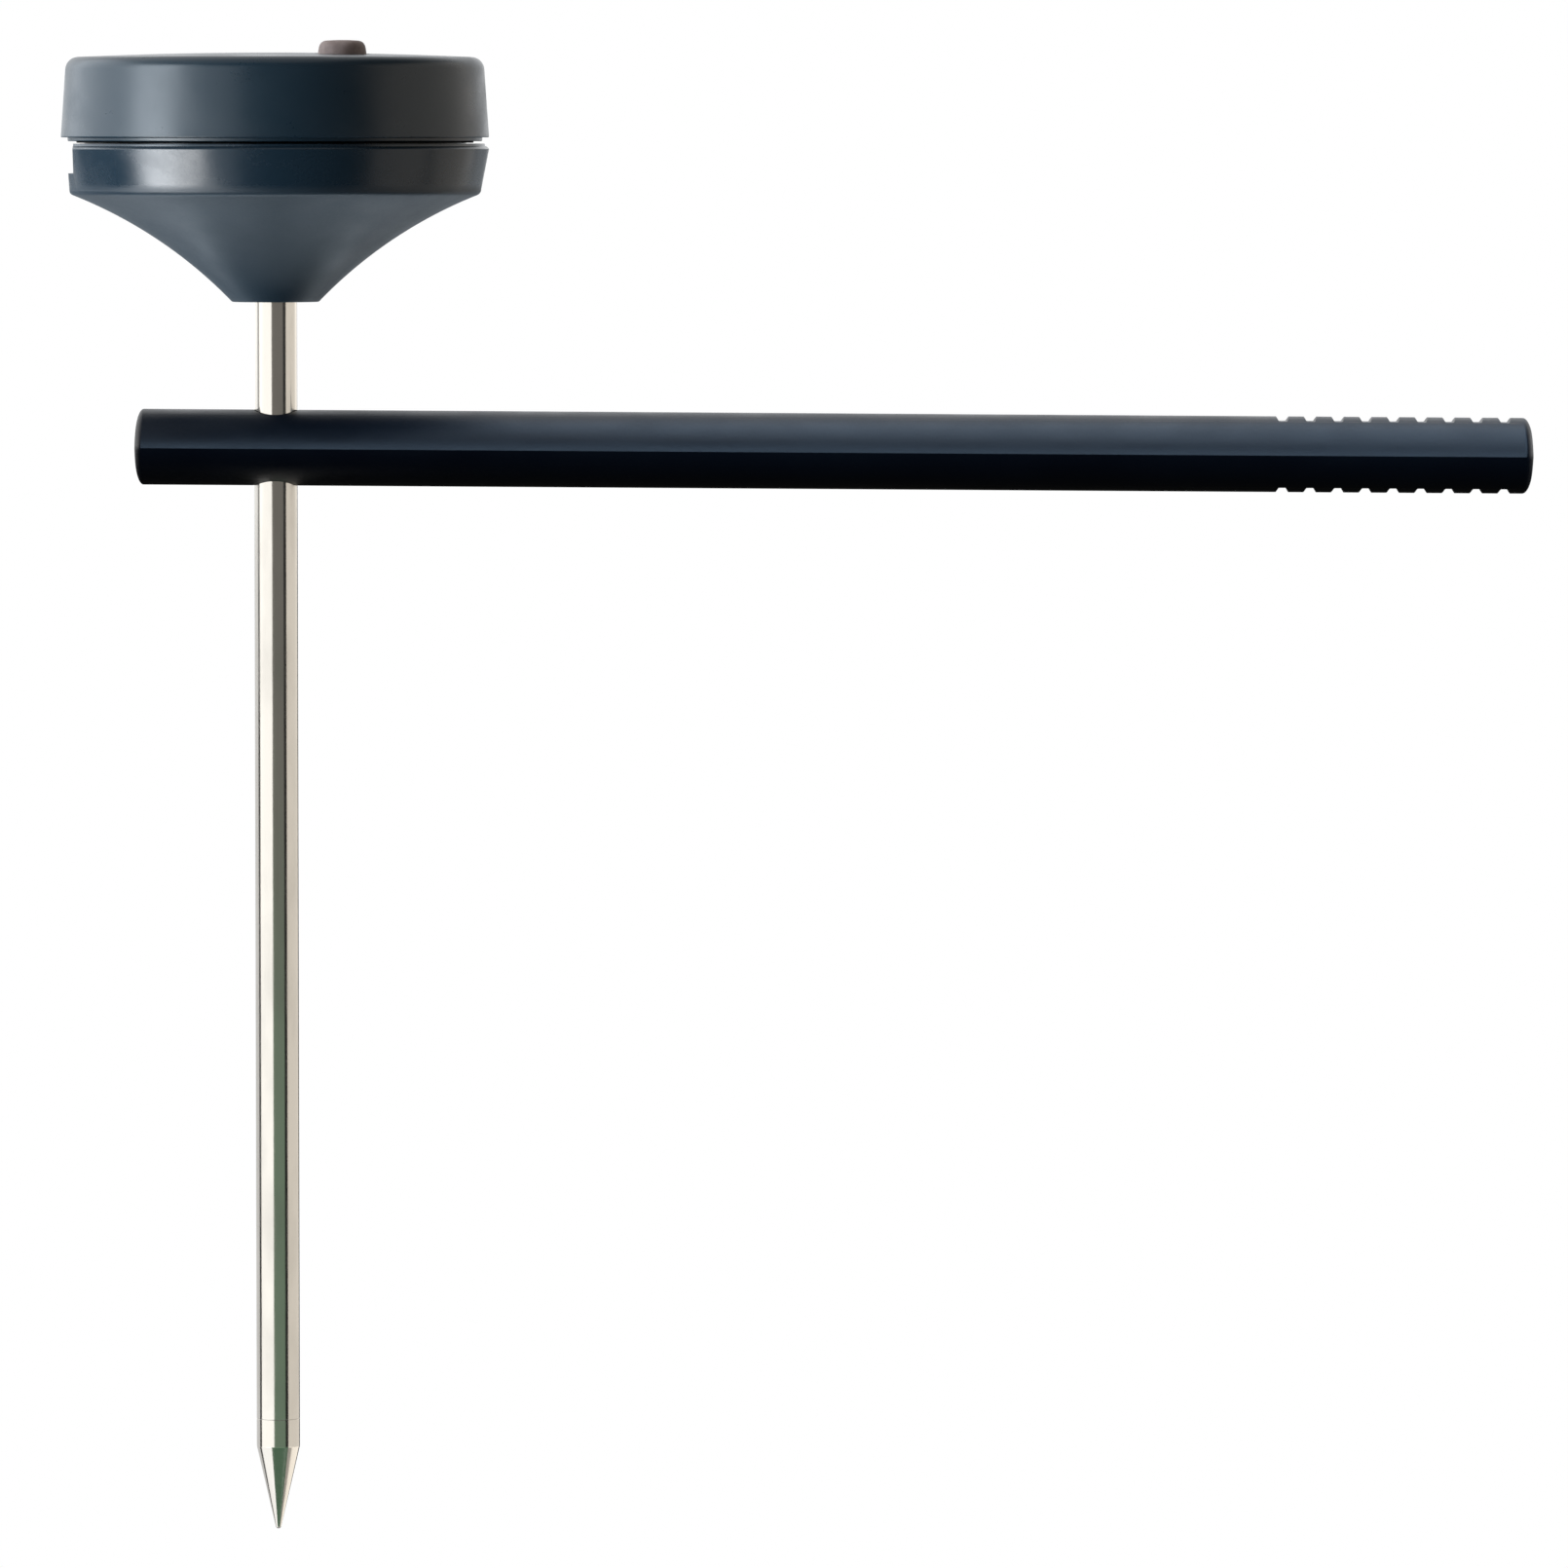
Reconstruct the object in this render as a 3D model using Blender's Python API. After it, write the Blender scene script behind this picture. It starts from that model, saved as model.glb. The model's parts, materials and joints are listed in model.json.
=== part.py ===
"""Pocket soil thermometer: a round digital head on a pointed steel probe, with its sleeve as a handle.

The origin is the probe's tip. +Z runs up the stem, +X runs along the handle sleeve to its open end,
and the display is read from the -Y side. Sizes are written in millimetres, and new_object turns them
into metres.
"""

from math import atan2, cos, hypot, pi, sin, sqrt

import bmesh
import bpy
from mathutils import Matrix, Vector

MM = 0.001

# Clearances
GAP = 0.3  # between a piece and what it rests on or passes through
SEAM = 0.1  # between the flat faces of the tip and the tube, which meet in the open
SLACK = 0.2  # round small pieces that fill their seat

# Probe stem
STEM_R = 2.0
STEM_WALL = 0.4
STEM_LENGTH = 113.8  # from the point to the underside of the neck
STEM_GRIPPED = 7.4  # length of tube inside the head
TIP_CONE = 7.75
TIP_BLUNT_R = 0.26
TIP_LENGTH = 10.3  # cone and the short solid cylinder behind it
SPIGOT_LENGTH = 2.0
BEAD_LENGTH = 2.3
SHRINK_WALL = 0.3
SHRINK_LENGTH = 7.0
LEAD_R = 0.22
LEAD_PAD_X = 4.0  # where each lead meets the board
LEAD_STRAIGHT = 1.0  # below its pad

# Head, lower shell
HEAD_R = 19.73  # widest radius, at the parting groove
NECK_WALL = 2.0
DRUM_DRAFT = 0.73  # how much the drum leans in from the parting groove to the corner
DRUM_HEIGHT = 3.97
CORNER_R = 0.6
CORNER_TURN = 0.72  # of a quarter turn, from the drum to the funnel
FUNNEL_HEIGHT = 10.38
FUNNEL_SAG = 0.95
LEDGE_CHAMFER = 0.25
FLOOR_WALL = 1.7
RIM_STEP = 2.13  # from the head's outside to the rim that locates the cover
RIM_WALL = 1.4
RIM_HEIGHT = 3.05
NECK_FLOOR = 1.1  # thickness of the neck's end wall
SEAL_POCKET = 1.3  # width of the neck seal's pocket round the stem
COLLAR_SEAT = 3.4  # height of the collar's seat above the neck's underside
COLLAR_WIDTH = 2.9  # from the stem to the edge of the collar's flange
COLLAR_FLANGE = 1.2
EPOXY_DEPTH = 1.6
POST_R = 1.8
THUMB_FLAT_DEPTH = 1.49
THUMB_FLAT_HEIGHT = 2.5
THUMB_APRON_DEPTH = 0.9
THUMB_SLOT_DEPTH = 0.75
THUMB_SLOT_HEIGHT = 0.5
THUMB_SLOT_WIDTH = 7.0

# Head, cover
PARTING_GROOVE = 0.8
LIP_DROP = 0.35
LIP_STEP = 0.63  # from the head's outside to the lip inside the groove
LIP_WALL = 0.5
COVER_HEIGHT = 7.8
COVER_DRAFT = 0.43  # how much the wall leans in from rim to top
COVER_EDGE_R = 1.2
CROWN = 0.4
ROOF = 1.85
SEAL_HEIGHT = 1.15

# Display, board and switch
WINDOW_WIDTH = 20.4
WINDOW_DEPTH = 9.4
WINDOW_THICKNESS = 0.7
WINDOW_CORNER = 1.2
WINDOW_LEDGE = 1.0
WINDOW_POCKET = 1.25  # below the middle of the crown
DISPLAY_Y = 4.6
LCD_WIDTH = 22.0
LCD_DEPTH = 10.5
LCD_THICKNESS = 1.6
LCD_LEDGE = 0.7
FRAME_WALL = 0.6
ZEBRA_WIDTH = 1.4
BOARD_THICKNESS = 1.0
SCREW_HEAD_R = 1.4
SCREW_HEAD_HEIGHT = 0.8
SCREW_EDGE = 0.3
SCREW_SLOT = 0.4
SCREW_SHANK_R = 0.7
SCREW_LENGTH = 4.0
SCREW_INSET = 2.5  # from the cavity's wall
SCREW_ANGLES = (90, 195, 345)
CELL_R = 5.8
CELL_HEIGHT = 5.4
CELL_X, CELL_Y = -6.3, -7.8
CELL_STEP = 0.4  # the cell's edge, and the step round its negative end
CONTACT_R = 4.0
CONTACT_THICKNESS = 0.3
CLIP_WIDTH = 3.0
CLIP_FOOT = 1.6
CLIP_REACH = 1.8  # past the middle of the cell
CLIP_HEADROOM = 0.4  # between the clip and the cover's roof
CHIP_R = 3.2
CHIP_HEIGHT = 1.4
CHIP_Y = 8.0
CRYSTAL_LENGTH, CRYSTAL_WIDTH = 5.0, 1.9
CAPACITOR_LENGTH, CAPACITOR_WIDTH = 2.0, 1.25
SIDE_PARTS_X, SIDE_PARTS_Y = 7.5, 4.0
BUTTON_R = 2.25
BUTTON_RISE = 1.1  # above the middle of the crown
BUTTON_EDGE_R = 0.8
BUTTON_CROWN = 0.1
BUTTON_FLANGE = 0.95
FLANGE_THICKNESS = 0.8
BUTTON_X, BUTTON_Y = 6.55, -9.0
SWITCH_SIZE = 6.0
SWITCH_CORNER = 0.4
SWITCH_HEIGHT = 3.5
PLUNGER_R = 1.6
PLUNGER_RISE = 1.2
PLUNGER_LENGTH = 3.2
PRESS_TRAVEL = 0.4

# Handle sleeve
SLEEVE_BELOW_NECK = 13.45  # from the neck's underside down to the sleeve's axis
SLEEVE_SHORT_END = 13.0  # from the stem's axis
STORED_TIP_X = 2.3  # where the stored probe's point lies, clear of the far end
SLEEVE_DROOP = 0.38  # degrees that the open end hangs down
SLEEVE_HALF_HEIGHT = 3.5
SLEEVE_HALF_DEPTH = 4.9
SLEEVE_END_ROUNDING = (0.8, 1.0)  # short end, long end
BORE_LEAD_IN = 0.3
NOTCHES = 9
NOTCH_PITCH = 2.56
NOTCH_FROM_END = 2.7  # from the long end to the last notch
NOTCH_DEPTH = 0.45
NOTCH_FLOOR = 0.75
NOTCH_MOUTH = 1.2
GRIP_RING_WALL = 0.6
GRIP_BITE = 0.05  # how far the ring stands into the cross hole
GRIP_RING_HEIGHT = 0.9
GRIP_RING_DROP = 1.6  # from the sleeve's axis down to the middle of the ring

REACH = 1.0  # how far a cutter runs past what it cuts

# Facets
HEAD_FACETS = 64
TUBE_FACETS = 32
SMALL_FACETS = 24

# Places that follow from the sizes above
NECK_Z = STEM_LENGTH
LEDGE_Z = NECK_Z + FUNNEL_HEIGHT + DRUM_HEIGHT
COVER_RIM_Z = LEDGE_Z + PARTING_GROOVE
CROWN_Z = COVER_RIM_Z + COVER_HEIGHT
ROOF_Z = CROWN_Z - ROOF
RIM_R = HEAD_R - RIM_STEP
CAVITY_R = RIM_R - RIM_WALL
LIP_R = HEAD_R - LIP_STEP
NECK_R = STEM_R + NECK_WALL
SEAL_POCKET_R = STEM_R + SEAL_POCKET
COLLAR_R = STEM_R + COLLAR_WIDTH
COLLAR_Z = NECK_Z + COLLAR_SEAT
BOARD_TOP = ROOF_Z - CLIP_HEADROOM - CELL_HEIGHT - 2 * CONTACT_THICKNESS - 3 * GAP
BOARD_BOTTOM = BOARD_TOP - BOARD_THICKNESS
STEM_BORE_R = STEM_R + GAP
STEM_INNER_R = STEM_R - STEM_WALL
SLEEVE_Z = NECK_Z - SLEEVE_BELOW_NECK
SLEEVE_LONG_END = STEM_LENGTH + STORED_TIP_X
SPIGOT_TOP = TIP_LENGTH + SPIGOT_LENGTH
SHRINK_R = STEM_INNER_R - GAP - SHRINK_WALL
BEAD_R = SHRINK_R - SLACK
LEAD_SPREAD = SHRINK_R - GAP - LEAD_R  # half the distance between the leads inside the tube
BEAD_Z = SPIGOT_TOP + GAP
LEAD_Z = BEAD_Z + BEAD_LENGTH + GAP


class Arc:
    """A shallow circular arc in the (radius, height) plane, bulging to the left of its direction."""

    def __init__(self, start, end, sag):
        self.start, self.end = Vector(start), Vector(end)
        chord = self.end - self.start
        self.radius = (chord.length**2 / 4 + sag**2) / (2 * sag)
        left = Vector((-chord.y, chord.x)).normalized()
        self.centre = (self.start + self.end) / 2 - left * (self.radius - sag)

    def points(self, steps):
        first = atan2(*reversed(self.start - self.centre))
        last = atan2(*reversed(self.end - self.centre))
        angles = [first + (last - first) * i / steps for i in range(steps + 1)]
        return [tuple(self.centre + self.radius * Vector((cos(a), sin(a)))) for a in angles]

    def height_at(self, radius):
        return self.centre.y + sqrt(self.radius**2 - (radius - self.centre.x) ** 2)

    def radius_at(self, height):
        return self.centre.x - sqrt(self.radius**2 - (height - self.centre.y) ** 2)


def fillet(centre, radius, first, last, steps=4):
    """Points round a corner, from one angle to another in quarter turns."""
    angles = [(first + (last - first) * i / steps) * pi / 2 for i in range(steps + 1)]
    return [(centre[0] + radius * cos(a), centre[1] + radius * sin(a)) for a in angles]


CORNER_CENTRE = (HEAD_R - DRUM_DRAFT - CORNER_R, NECK_Z + FUNNEL_HEIGHT)
CORNER = fillet(CORNER_CENTRE, CORNER_R, -CORNER_TURN, 0)
FUNNEL_OUTSIDE = Arc((NECK_R, NECK_Z), CORNER[0], FUNNEL_SAG)
FUNNEL_INSIDE = Arc(
    (COLLAR_R + GAP, COLLAR_Z + GAP),
    (CAVITY_R, FUNNEL_OUTSIDE.height_at(CAVITY_R) + FLOOR_WALL),
    FUNNEL_SAG / 2,
)


def finish(name, colour, roughness, metallic=0.0, alpha=1.0):
    material = bpy.data.materials.new(name)
    material.use_nodes = True
    shader = material.node_tree.nodes["Principled BSDF"]
    shader.inputs["Base Color"].default_value = (*colour, 1.0)
    shader.inputs["Roughness"].default_value = roughness
    shader.inputs["Metallic"].default_value = metallic
    shader.inputs["Alpha"].default_value = alpha
    material.diffuse_color = (*colour, alpha)
    return material


def new_object(name, shape, material=None, origin=(0, 0, 0)):
    """Turns a bmesh in millimetres into an object in metres whose origin is at the given point."""
    bmesh.ops.remove_doubles(shape, verts=shape.verts, dist=1e-5)
    bmesh.ops.recalc_face_normals(shape, faces=shape.faces)
    shape.transform(Matrix.Scale(MM, 4) @ Matrix.Translation(-Vector(origin)))
    mesh = bpy.data.meshes.new(name)
    shape.to_mesh(mesh)
    shape.free()
    piece = bpy.data.objects.new(name, mesh)
    piece.location = Vector(origin) * MM
    bpy.context.scene.collection.objects.link(piece)
    if material:
        mesh.materials.append(material)
        mesh.shade_smooth()
        mesh.set_sharp_from_angle(angle=pi / 6)
    else:
        piece.hide_render = True
        piece.display_type = "WIRE"
    return piece


def turn(shape, outline, facets, at=(0, 0)):
    """Spins a (radius, height) outline round the upright axis through the point at."""
    points = [shape.verts.new((at[0] + r, at[1], z)) for r, z in outline]
    on_axis = outline[0][0] == 0 and outline[-1][0] == 0
    pairs = list(zip(points, points[1:])) + ([] if on_axis else [(points[-1], points[0])])
    edges = [shape.edges.new(pair) for pair in pairs]
    bmesh.ops.spin(
        shape, geom=points + edges, cent=(*at, 0), axis=(0, 0, 1), angle=2 * pi, steps=facets, use_merge=True
    )


def turned(name, outline, material=None, facets=SMALL_FACETS, at=(0, 0), origin=(0, 0, 0)):
    shape = bmesh.new()
    turn(shape, outline, facets, at)
    return new_object(name, shape, material, origin)


def ring(inner, outer, low, high):
    """Outline of a plain ring."""
    return [(inner, low), (outer, low), (outer, high), (inner, high)]


def disc(radius, low, high):
    """Outline of a plain round solid."""
    return [(0, low), (radius, low), (radius, high), (0, high)]


def rectangle(width, depth, at=(0, 0), corner=0.0, steps=4):
    """Corners of a flat rectangle, rounded where corner isn't 0, anticlockwise."""
    half = (width / 2 - corner, depth / 2 - corner)
    points = []
    for quarter, (sx, sy) in enumerate(((1, 1), (-1, 1), (-1, -1), (1, -1))):
        centre = (at[0] + sx * half[0], at[1] + sy * half[1])
        points += fillet(centre, corner, quarter, quarter + 1, steps) if corner else [centre]
    return points


def extrude(shape, outline, low, high):
    """Raises a flat outline from one height to another, as a closed solid."""
    face = shape.faces.new([shape.verts.new((x, y, low)) for x, y in outline])
    raised = bmesh.ops.extrude_face_region(shape, geom=[face])
    top = [item for item in raised["geom"] if isinstance(item, bmesh.types.BMVert)]
    bmesh.ops.translate(shape, verts=top, vec=(0, 0, high - low))


def block(name, outline, low, high, material=None, origin=(0, 0, 0)):
    shape = bmesh.new()
    extrude(shape, outline, low, high)
    return new_object(name, shape, material, origin)


def combine(piece, other, operation="DIFFERENCE"):
    modifier = piece.modifiers.new(other.name, "BOOLEAN")
    modifier.operation = operation
    modifier.solver = "EXACT"
    modifier.object = other


def screw_places():
    angles = [degrees * pi / 180 for degrees in SCREW_ANGLES]
    return [((CAVITY_R - SCREW_INSET) * cos(a), (CAVITY_R - SCREW_INSET) * sin(a)) for a in angles]


# Probe


def make_tip(steel):
    spigot_r = STEM_INNER_R - GAP
    lean = atan2(STEM_R - TIP_BLUNT_R, TIP_CONE) / (pi / 2)
    point = fillet((0, TIP_BLUNT_R), TIP_BLUNT_R, -1, -lean, 3)
    side = [(STEM_R, TIP_CONE), (STEM_R, TIP_LENGTH), (spigot_r, TIP_LENGTH)]
    end = [(spigot_r, SPIGOT_TOP), (0, SPIGOT_TOP)]
    turned("probe_tip", [(0, 0)] + point[1:] + side + end, steel, TUBE_FACETS)


def make_stem(steel):
    top = NECK_Z + STEM_GRIPPED
    turned("stem_tube", ring(STEM_INNER_R, STEM_R, TIP_LENGTH + SEAM, top), steel, TUBE_FACETS)


def make_sensor(glass, shrink):
    middle = BEAD_Z + BEAD_LENGTH / 2
    turns = [(i / 8 - 0.5) * pi for i in range(9)]
    bead = [(BEAD_R * max(cos(a), 0), middle + BEAD_LENGTH / 2 * sin(a)) for a in turns]
    bead[0], bead[-1] = (0, BEAD_Z), (0, BEAD_Z + BEAD_LENGTH)
    turned("thermistor_bead", bead, glass, 16)
    turned("bead_sleeve", ring(SHRINK_R, SHRINK_R + SHRINK_WALL, BEAD_Z, BEAD_Z + SHRINK_LENGTH), shrink)


def make_lead(name, side, material):
    """A wire that leaves the bead, runs up the tube and bends out to its pad under the board."""
    bend_low = NECK_Z + STEM_GRIPPED + GAP
    bend_high = BOARD_BOTTOM - GAP - LEAD_STRAIGHT
    route = [(LEAD_SPREAD, LEAD_Z)]
    for i in range(13):
        t = i / 12
        out = LEAD_SPREAD + (LEAD_PAD_X - LEAD_SPREAD) * t * t * (3 - 2 * t)
        route.append((out, bend_low + (bend_high - bend_low) * t))
    route.append((LEAD_PAD_X, BOARD_BOTTOM - GAP))
    curve = bpy.data.curves.new(name, "CURVE")
    curve.dimensions = "3D"
    curve.bevel_depth = LEAD_R * MM
    curve.bevel_resolution = 2
    curve.use_fill_caps = True
    spline = curve.splines.new("POLY")
    spline.points.add(len(route) - 1)
    for point, (out, z) in zip(spline.points, route):
        point.co = (side * out * MM, 0, z * MM, 1)
    curve.materials.append(material)
    bpy.context.scene.collection.objects.link(bpy.data.objects.new(name, curve))


# Lower shell and what seals the stem in it


def shell_outline():
    """The lower shell's section, from the neck's mouth up its outside and down its inside."""
    outside = FUNNEL_OUTSIDE.points(10) + CORNER[1:]
    outside += [(HEAD_R, LEDGE_Z - LEDGE_CHAMFER), (HEAD_R - LEDGE_CHAMFER, LEDGE_Z)]
    rim = [(RIM_R, LEDGE_Z), (RIM_R, LEDGE_Z + RIM_HEIGHT), (CAVITY_R, LEDGE_Z + RIM_HEIGHT)]
    inside = FUNNEL_INSIDE.points(6)[::-1] + [(COLLAR_R + GAP, COLLAR_Z)]
    pocket_z = NECK_Z + NECK_FLOOR
    neck = [(SEAL_POCKET_R, COLLAR_Z), (SEAL_POCKET_R, pocket_z)]
    neck += [(STEM_BORE_R, pocket_z), (STEM_BORE_R, NECK_Z)]
    return outside + rim + inside + neck


def post_shape(shape, place):
    """A screw post whose foot follows the middle of the funnel's wall."""
    top = BOARD_BOTTOM - GAP
    turn(shape, disc(POST_R, NECK_Z, top), SMALL_FACETS, place)
    for vert in shape.verts:
        if vert.co.z < top:
            out = hypot(vert.co.x, vert.co.y)
            vert.co.z = (FUNNEL_OUTSIDE.height_at(out) + FUNNEL_INSIDE.height_at(out)) / 2


def make_lower_shell(plastic):
    shell = turned("lower_shell", shell_outline(), plastic, HEAD_FACETS)
    hole_r = SCREW_SHANK_R + GAP
    for index, place in enumerate(screw_places(), 1):
        shape = bmesh.new()
        post_shape(shape, place)
        combine(shell, new_object(f"post_{index}", shape), "UNION")
    for index, place in enumerate(screw_places(), 1):
        bottom = BOARD_TOP - SCREW_LENGTH - GAP
        combine(shell, turned(f"post_hole_{index}", disc(hole_r, bottom, BOARD_TOP), at=place))
    flat_x = -(HEAD_R - THUMB_FLAT_DEPTH)
    flat = rectangle(2 * THUMB_FLAT_DEPTH, 2 * HEAD_R, (flat_x - THUMB_FLAT_DEPTH, 0))
    combine(shell, block("thumb_flat", flat, LEDGE_Z - THUMB_FLAT_HEIGHT, LEDGE_Z + PARTING_GROOVE))
    apron_x = -(HEAD_R - THUMB_APRON_DEPTH)
    apron = rectangle(2 * THUMB_APRON_DEPTH, 2 * HEAD_R, (apron_x - THUMB_APRON_DEPTH, 0))
    combine(shell, block("thumb_apron", apron, NECK_Z, LEDGE_Z + PARTING_GROOVE))
    slot = rectangle(2 * THUMB_SLOT_DEPTH, THUMB_SLOT_WIDTH, (flat_x, 0))
    combine(shell, block("thumb_slot", slot, LEDGE_Z - THUMB_SLOT_HEIGHT, LEDGE_Z + PARTING_GROOVE))


def make_neck_fittings(brass, rubber, epoxy):
    minor = (SEAL_POCKET_R - STEM_R) / 2 - SLACK
    middle = (STEM_R + SEAL_POCKET_R) / 2
    seal_z = NECK_Z + NECK_FLOOR + SLACK + minor
    turned("neck_seal", fillet((middle, seal_z), minor, 0, 4, 12)[:-1], rubber)
    foot_r = SEAL_POCKET_R - GAP
    flange_z = COLLAR_Z + GAP
    top = flange_z + COLLAR_FLANGE
    foot_z = seal_z + minor + GAP
    outline = [(STEM_BORE_R, foot_z), (foot_r, foot_z), (foot_r, flange_z), (COLLAR_R, flange_z)]
    turned("stem_collar", outline + [(COLLAR_R, top), (STEM_BORE_R, top)], brass)
    low, high = top + GAP, top + GAP + EPOXY_DEPTH
    wide_low, wide_high = (FUNNEL_INSIDE.radius_at(z) - 2 * GAP for z in (low, high))
    fill = [(STEM_BORE_R, low), (wide_low, low), (wide_high, high), (STEM_BORE_R, high)]
    turned("epoxy_fill", fill, epoxy, TUBE_FACETS)


# Cover, its window, button and gasket


def crown_height(radius):
    return CROWN_Z - CROWN * (radius / (HEAD_R - COVER_DRAFT - COVER_EDGE_R)) ** 2


def cover_outline():
    """The cover's section, from the middle of its top down its outside and up its inside."""
    edge_r = HEAD_R - COVER_DRAFT - COVER_EDGE_R
    crown = [(edge_r * i / 4, crown_height(edge_r * i / 4)) for i in range(5)]
    lean = atan2(2 * CROWN, edge_r) / (pi / 2)
    draft = atan2(COVER_DRAFT, COVER_HEIGHT) / (pi / 2)
    edge = fillet((edge_r, crown_height(edge_r) - COVER_EDGE_R), COVER_EDGE_R, 1 - lean, draft, 5)
    foot = [(HEAD_R, COVER_RIM_Z + LEDGE_CHAMFER), (HEAD_R - LEDGE_CHAMFER, COVER_RIM_Z)]
    foot += [(LIP_R, COVER_RIM_Z)]
    lip_z = COVER_RIM_Z - LIP_DROP
    seat_z = LEDGE_Z + SEAL_HEIGHT + 2 * GAP
    lip = [(LIP_R, lip_z), (LIP_R - LIP_WALL, lip_z), (LIP_R - LIP_WALL, seat_z)]
    inside_r = RIM_R + GAP
    return crown + edge + foot + lip + [(inside_r, seat_z), (inside_r, ROOF_Z), (0, ROOF_Z)]


def make_cover(plastic):
    cover = turned("upper_shell", cover_outline(), plastic, HEAD_FACETS)
    pocket_floor = CROWN_Z - WINDOW_POCKET
    place = (0, DISPLAY_Y)
    pocket = rectangle(WINDOW_WIDTH + 2 * SLACK, WINDOW_DEPTH + 2 * SLACK, place, WINDOW_CORNER)
    wide, deep = WINDOW_WIDTH - 2 * WINDOW_LEDGE, WINDOW_DEPTH - 2 * WINDOW_LEDGE
    opening = rectangle(wide, deep, place, WINDOW_CORNER / 2)
    combine(cover, block("window_pocket", pocket, pocket_floor, CROWN_Z + REACH))
    combine(cover, block("window_opening", opening, ROOF_Z - REACH, CROWN_Z + REACH))
    hole = disc(BUTTON_R + GAP, ROOF_Z - REACH, CROWN_Z + REACH)
    combine(cover, turned("button_hole", hole, at=(BUTTON_X, BUTTON_Y)))


def make_window(clear):
    low = CROWN_Z - WINDOW_POCKET + SLACK
    outline = rectangle(WINDOW_WIDTH, WINDOW_DEPTH, (0, DISPLAY_Y), WINDOW_CORNER)
    block("display_window", outline, low, low + WINDOW_THICKNESS, clear)


def make_button(rubber):
    top = CROWN_Z + BUTTON_RISE
    flange_z = ROOF_Z - GAP
    foot_z = BOARD_TOP + GAP + SWITCH_HEIGHT + PLUNGER_RISE + GAP
    crown = [(0, top), (BUTTON_R * 0.4, top - BUTTON_CROWN / 3)]
    edge = fillet((BUTTON_R - BUTTON_EDGE_R, top - BUTTON_CROWN - BUTTON_EDGE_R), BUTTON_EDGE_R, 0.9, 0)
    flange = [
        (BUTTON_R, flange_z),
        (BUTTON_R + BUTTON_FLANGE, flange_z),
        (BUTTON_R + BUTTON_FLANGE, flange_z - FLANGE_THICKNESS),
        (PLUNGER_R, flange_z - FLANGE_THICKNESS),
        (PLUNGER_R, foot_z),
        (0, foot_z),
    ]
    origin = (BUTTON_X, BUTTON_Y, top)
    turned("power_button", crown + edge + flange, rubber, TUBE_FACETS, (BUTTON_X, BUTTON_Y), origin)


def make_seal(rubber):
    low = LEDGE_Z + GAP
    outer = LIP_R - LIP_WALL - GAP
    turned("seal_ring", ring(RIM_R + GAP, outer, low, low + SEAL_HEIGHT), rubber, HEAD_FACETS)


# Board and what stands on it


def make_board(laminate):
    board = turned("circuit_board", disc(CAVITY_R - GAP, BOARD_BOTTOM, BOARD_TOP), laminate, HEAD_FACETS // 2)
    for index, place in enumerate(screw_places(), 1):
        hole = disc(SCREW_SHANK_R + GAP, BOARD_BOTTOM - REACH, BOARD_TOP + REACH)
        combine(board, turned(f"board_hole_{index}", hole, at=place))


def make_screws(steel):
    for index, place in enumerate(screw_places(), 1):
        under_head = BOARD_TOP + GAP
        head = under_head + SCREW_HEAD_HEIGHT
        outline = [(0, BOARD_TOP - SCREW_LENGTH), (SCREW_SHANK_R, BOARD_TOP - SCREW_LENGTH + SCREW_SHANK_R)]
        outline += [(SCREW_SHANK_R, under_head), (SCREW_HEAD_R, under_head)]
        outline += [(SCREW_HEAD_R, head - SCREW_EDGE), (SCREW_HEAD_R - SCREW_EDGE, head), (0, head)]
        screw = turned(f"board_screw_{index}", outline, steel, 16, place, (*place, head))
        outline = rectangle(3 * SCREW_HEAD_R, SCREW_SLOT, place)
        slot = block(f"screw_slot_{index}", outline, head - SCREW_SLOT, head + REACH)
        combine(screw, slot)


def make_display(polariser, plastic, rubber):
    place = (0, DISPLAY_Y)
    ledge_z = ROOF_Z - GAP - LCD_THICKNESS - 2 * GAP
    panel = rectangle(LCD_WIDTH, LCD_DEPTH, place)
    block("lcd_panel", panel, ledge_z + GAP, ledge_z + GAP + LCD_THICKNESS, polariser)
    wide, deep = LCD_WIDTH + 2 * SLACK, LCD_DEPTH + 2 * SLACK
    outside = rectangle(wide + 2 * FRAME_WALL, deep + 2 * FRAME_WALL, place, FRAME_WALL)
    frame = block("lcd_frame", outside, BOARD_TOP + GAP, ROOF_Z - GAP, plastic)
    combine(frame, block("lcd_pocket", rectangle(wide, deep, place), ledge_z, ROOF_Z + REACH))
    inner_deep = deep - 2 * LCD_LEDGE
    through = rectangle(wide - 2 * LCD_LEDGE, inner_deep, place)
    combine(frame, block("lcd_through", through, BOARD_TOP - REACH, ROOF_Z + REACH))
    offset = inner_deep / 2 - GAP - ZEBRA_WIDTH / 2
    for name, side in (("zebra_strip_front", -1), ("zebra_strip_rear", 1)):
        strip = rectangle(wide - 2 * LCD_LEDGE - 2 * GAP, ZEBRA_WIDTH, (0, DISPLAY_Y + side * offset))
        block(name, strip, BOARD_TOP + GAP, ledge_z, rubber)


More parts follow.
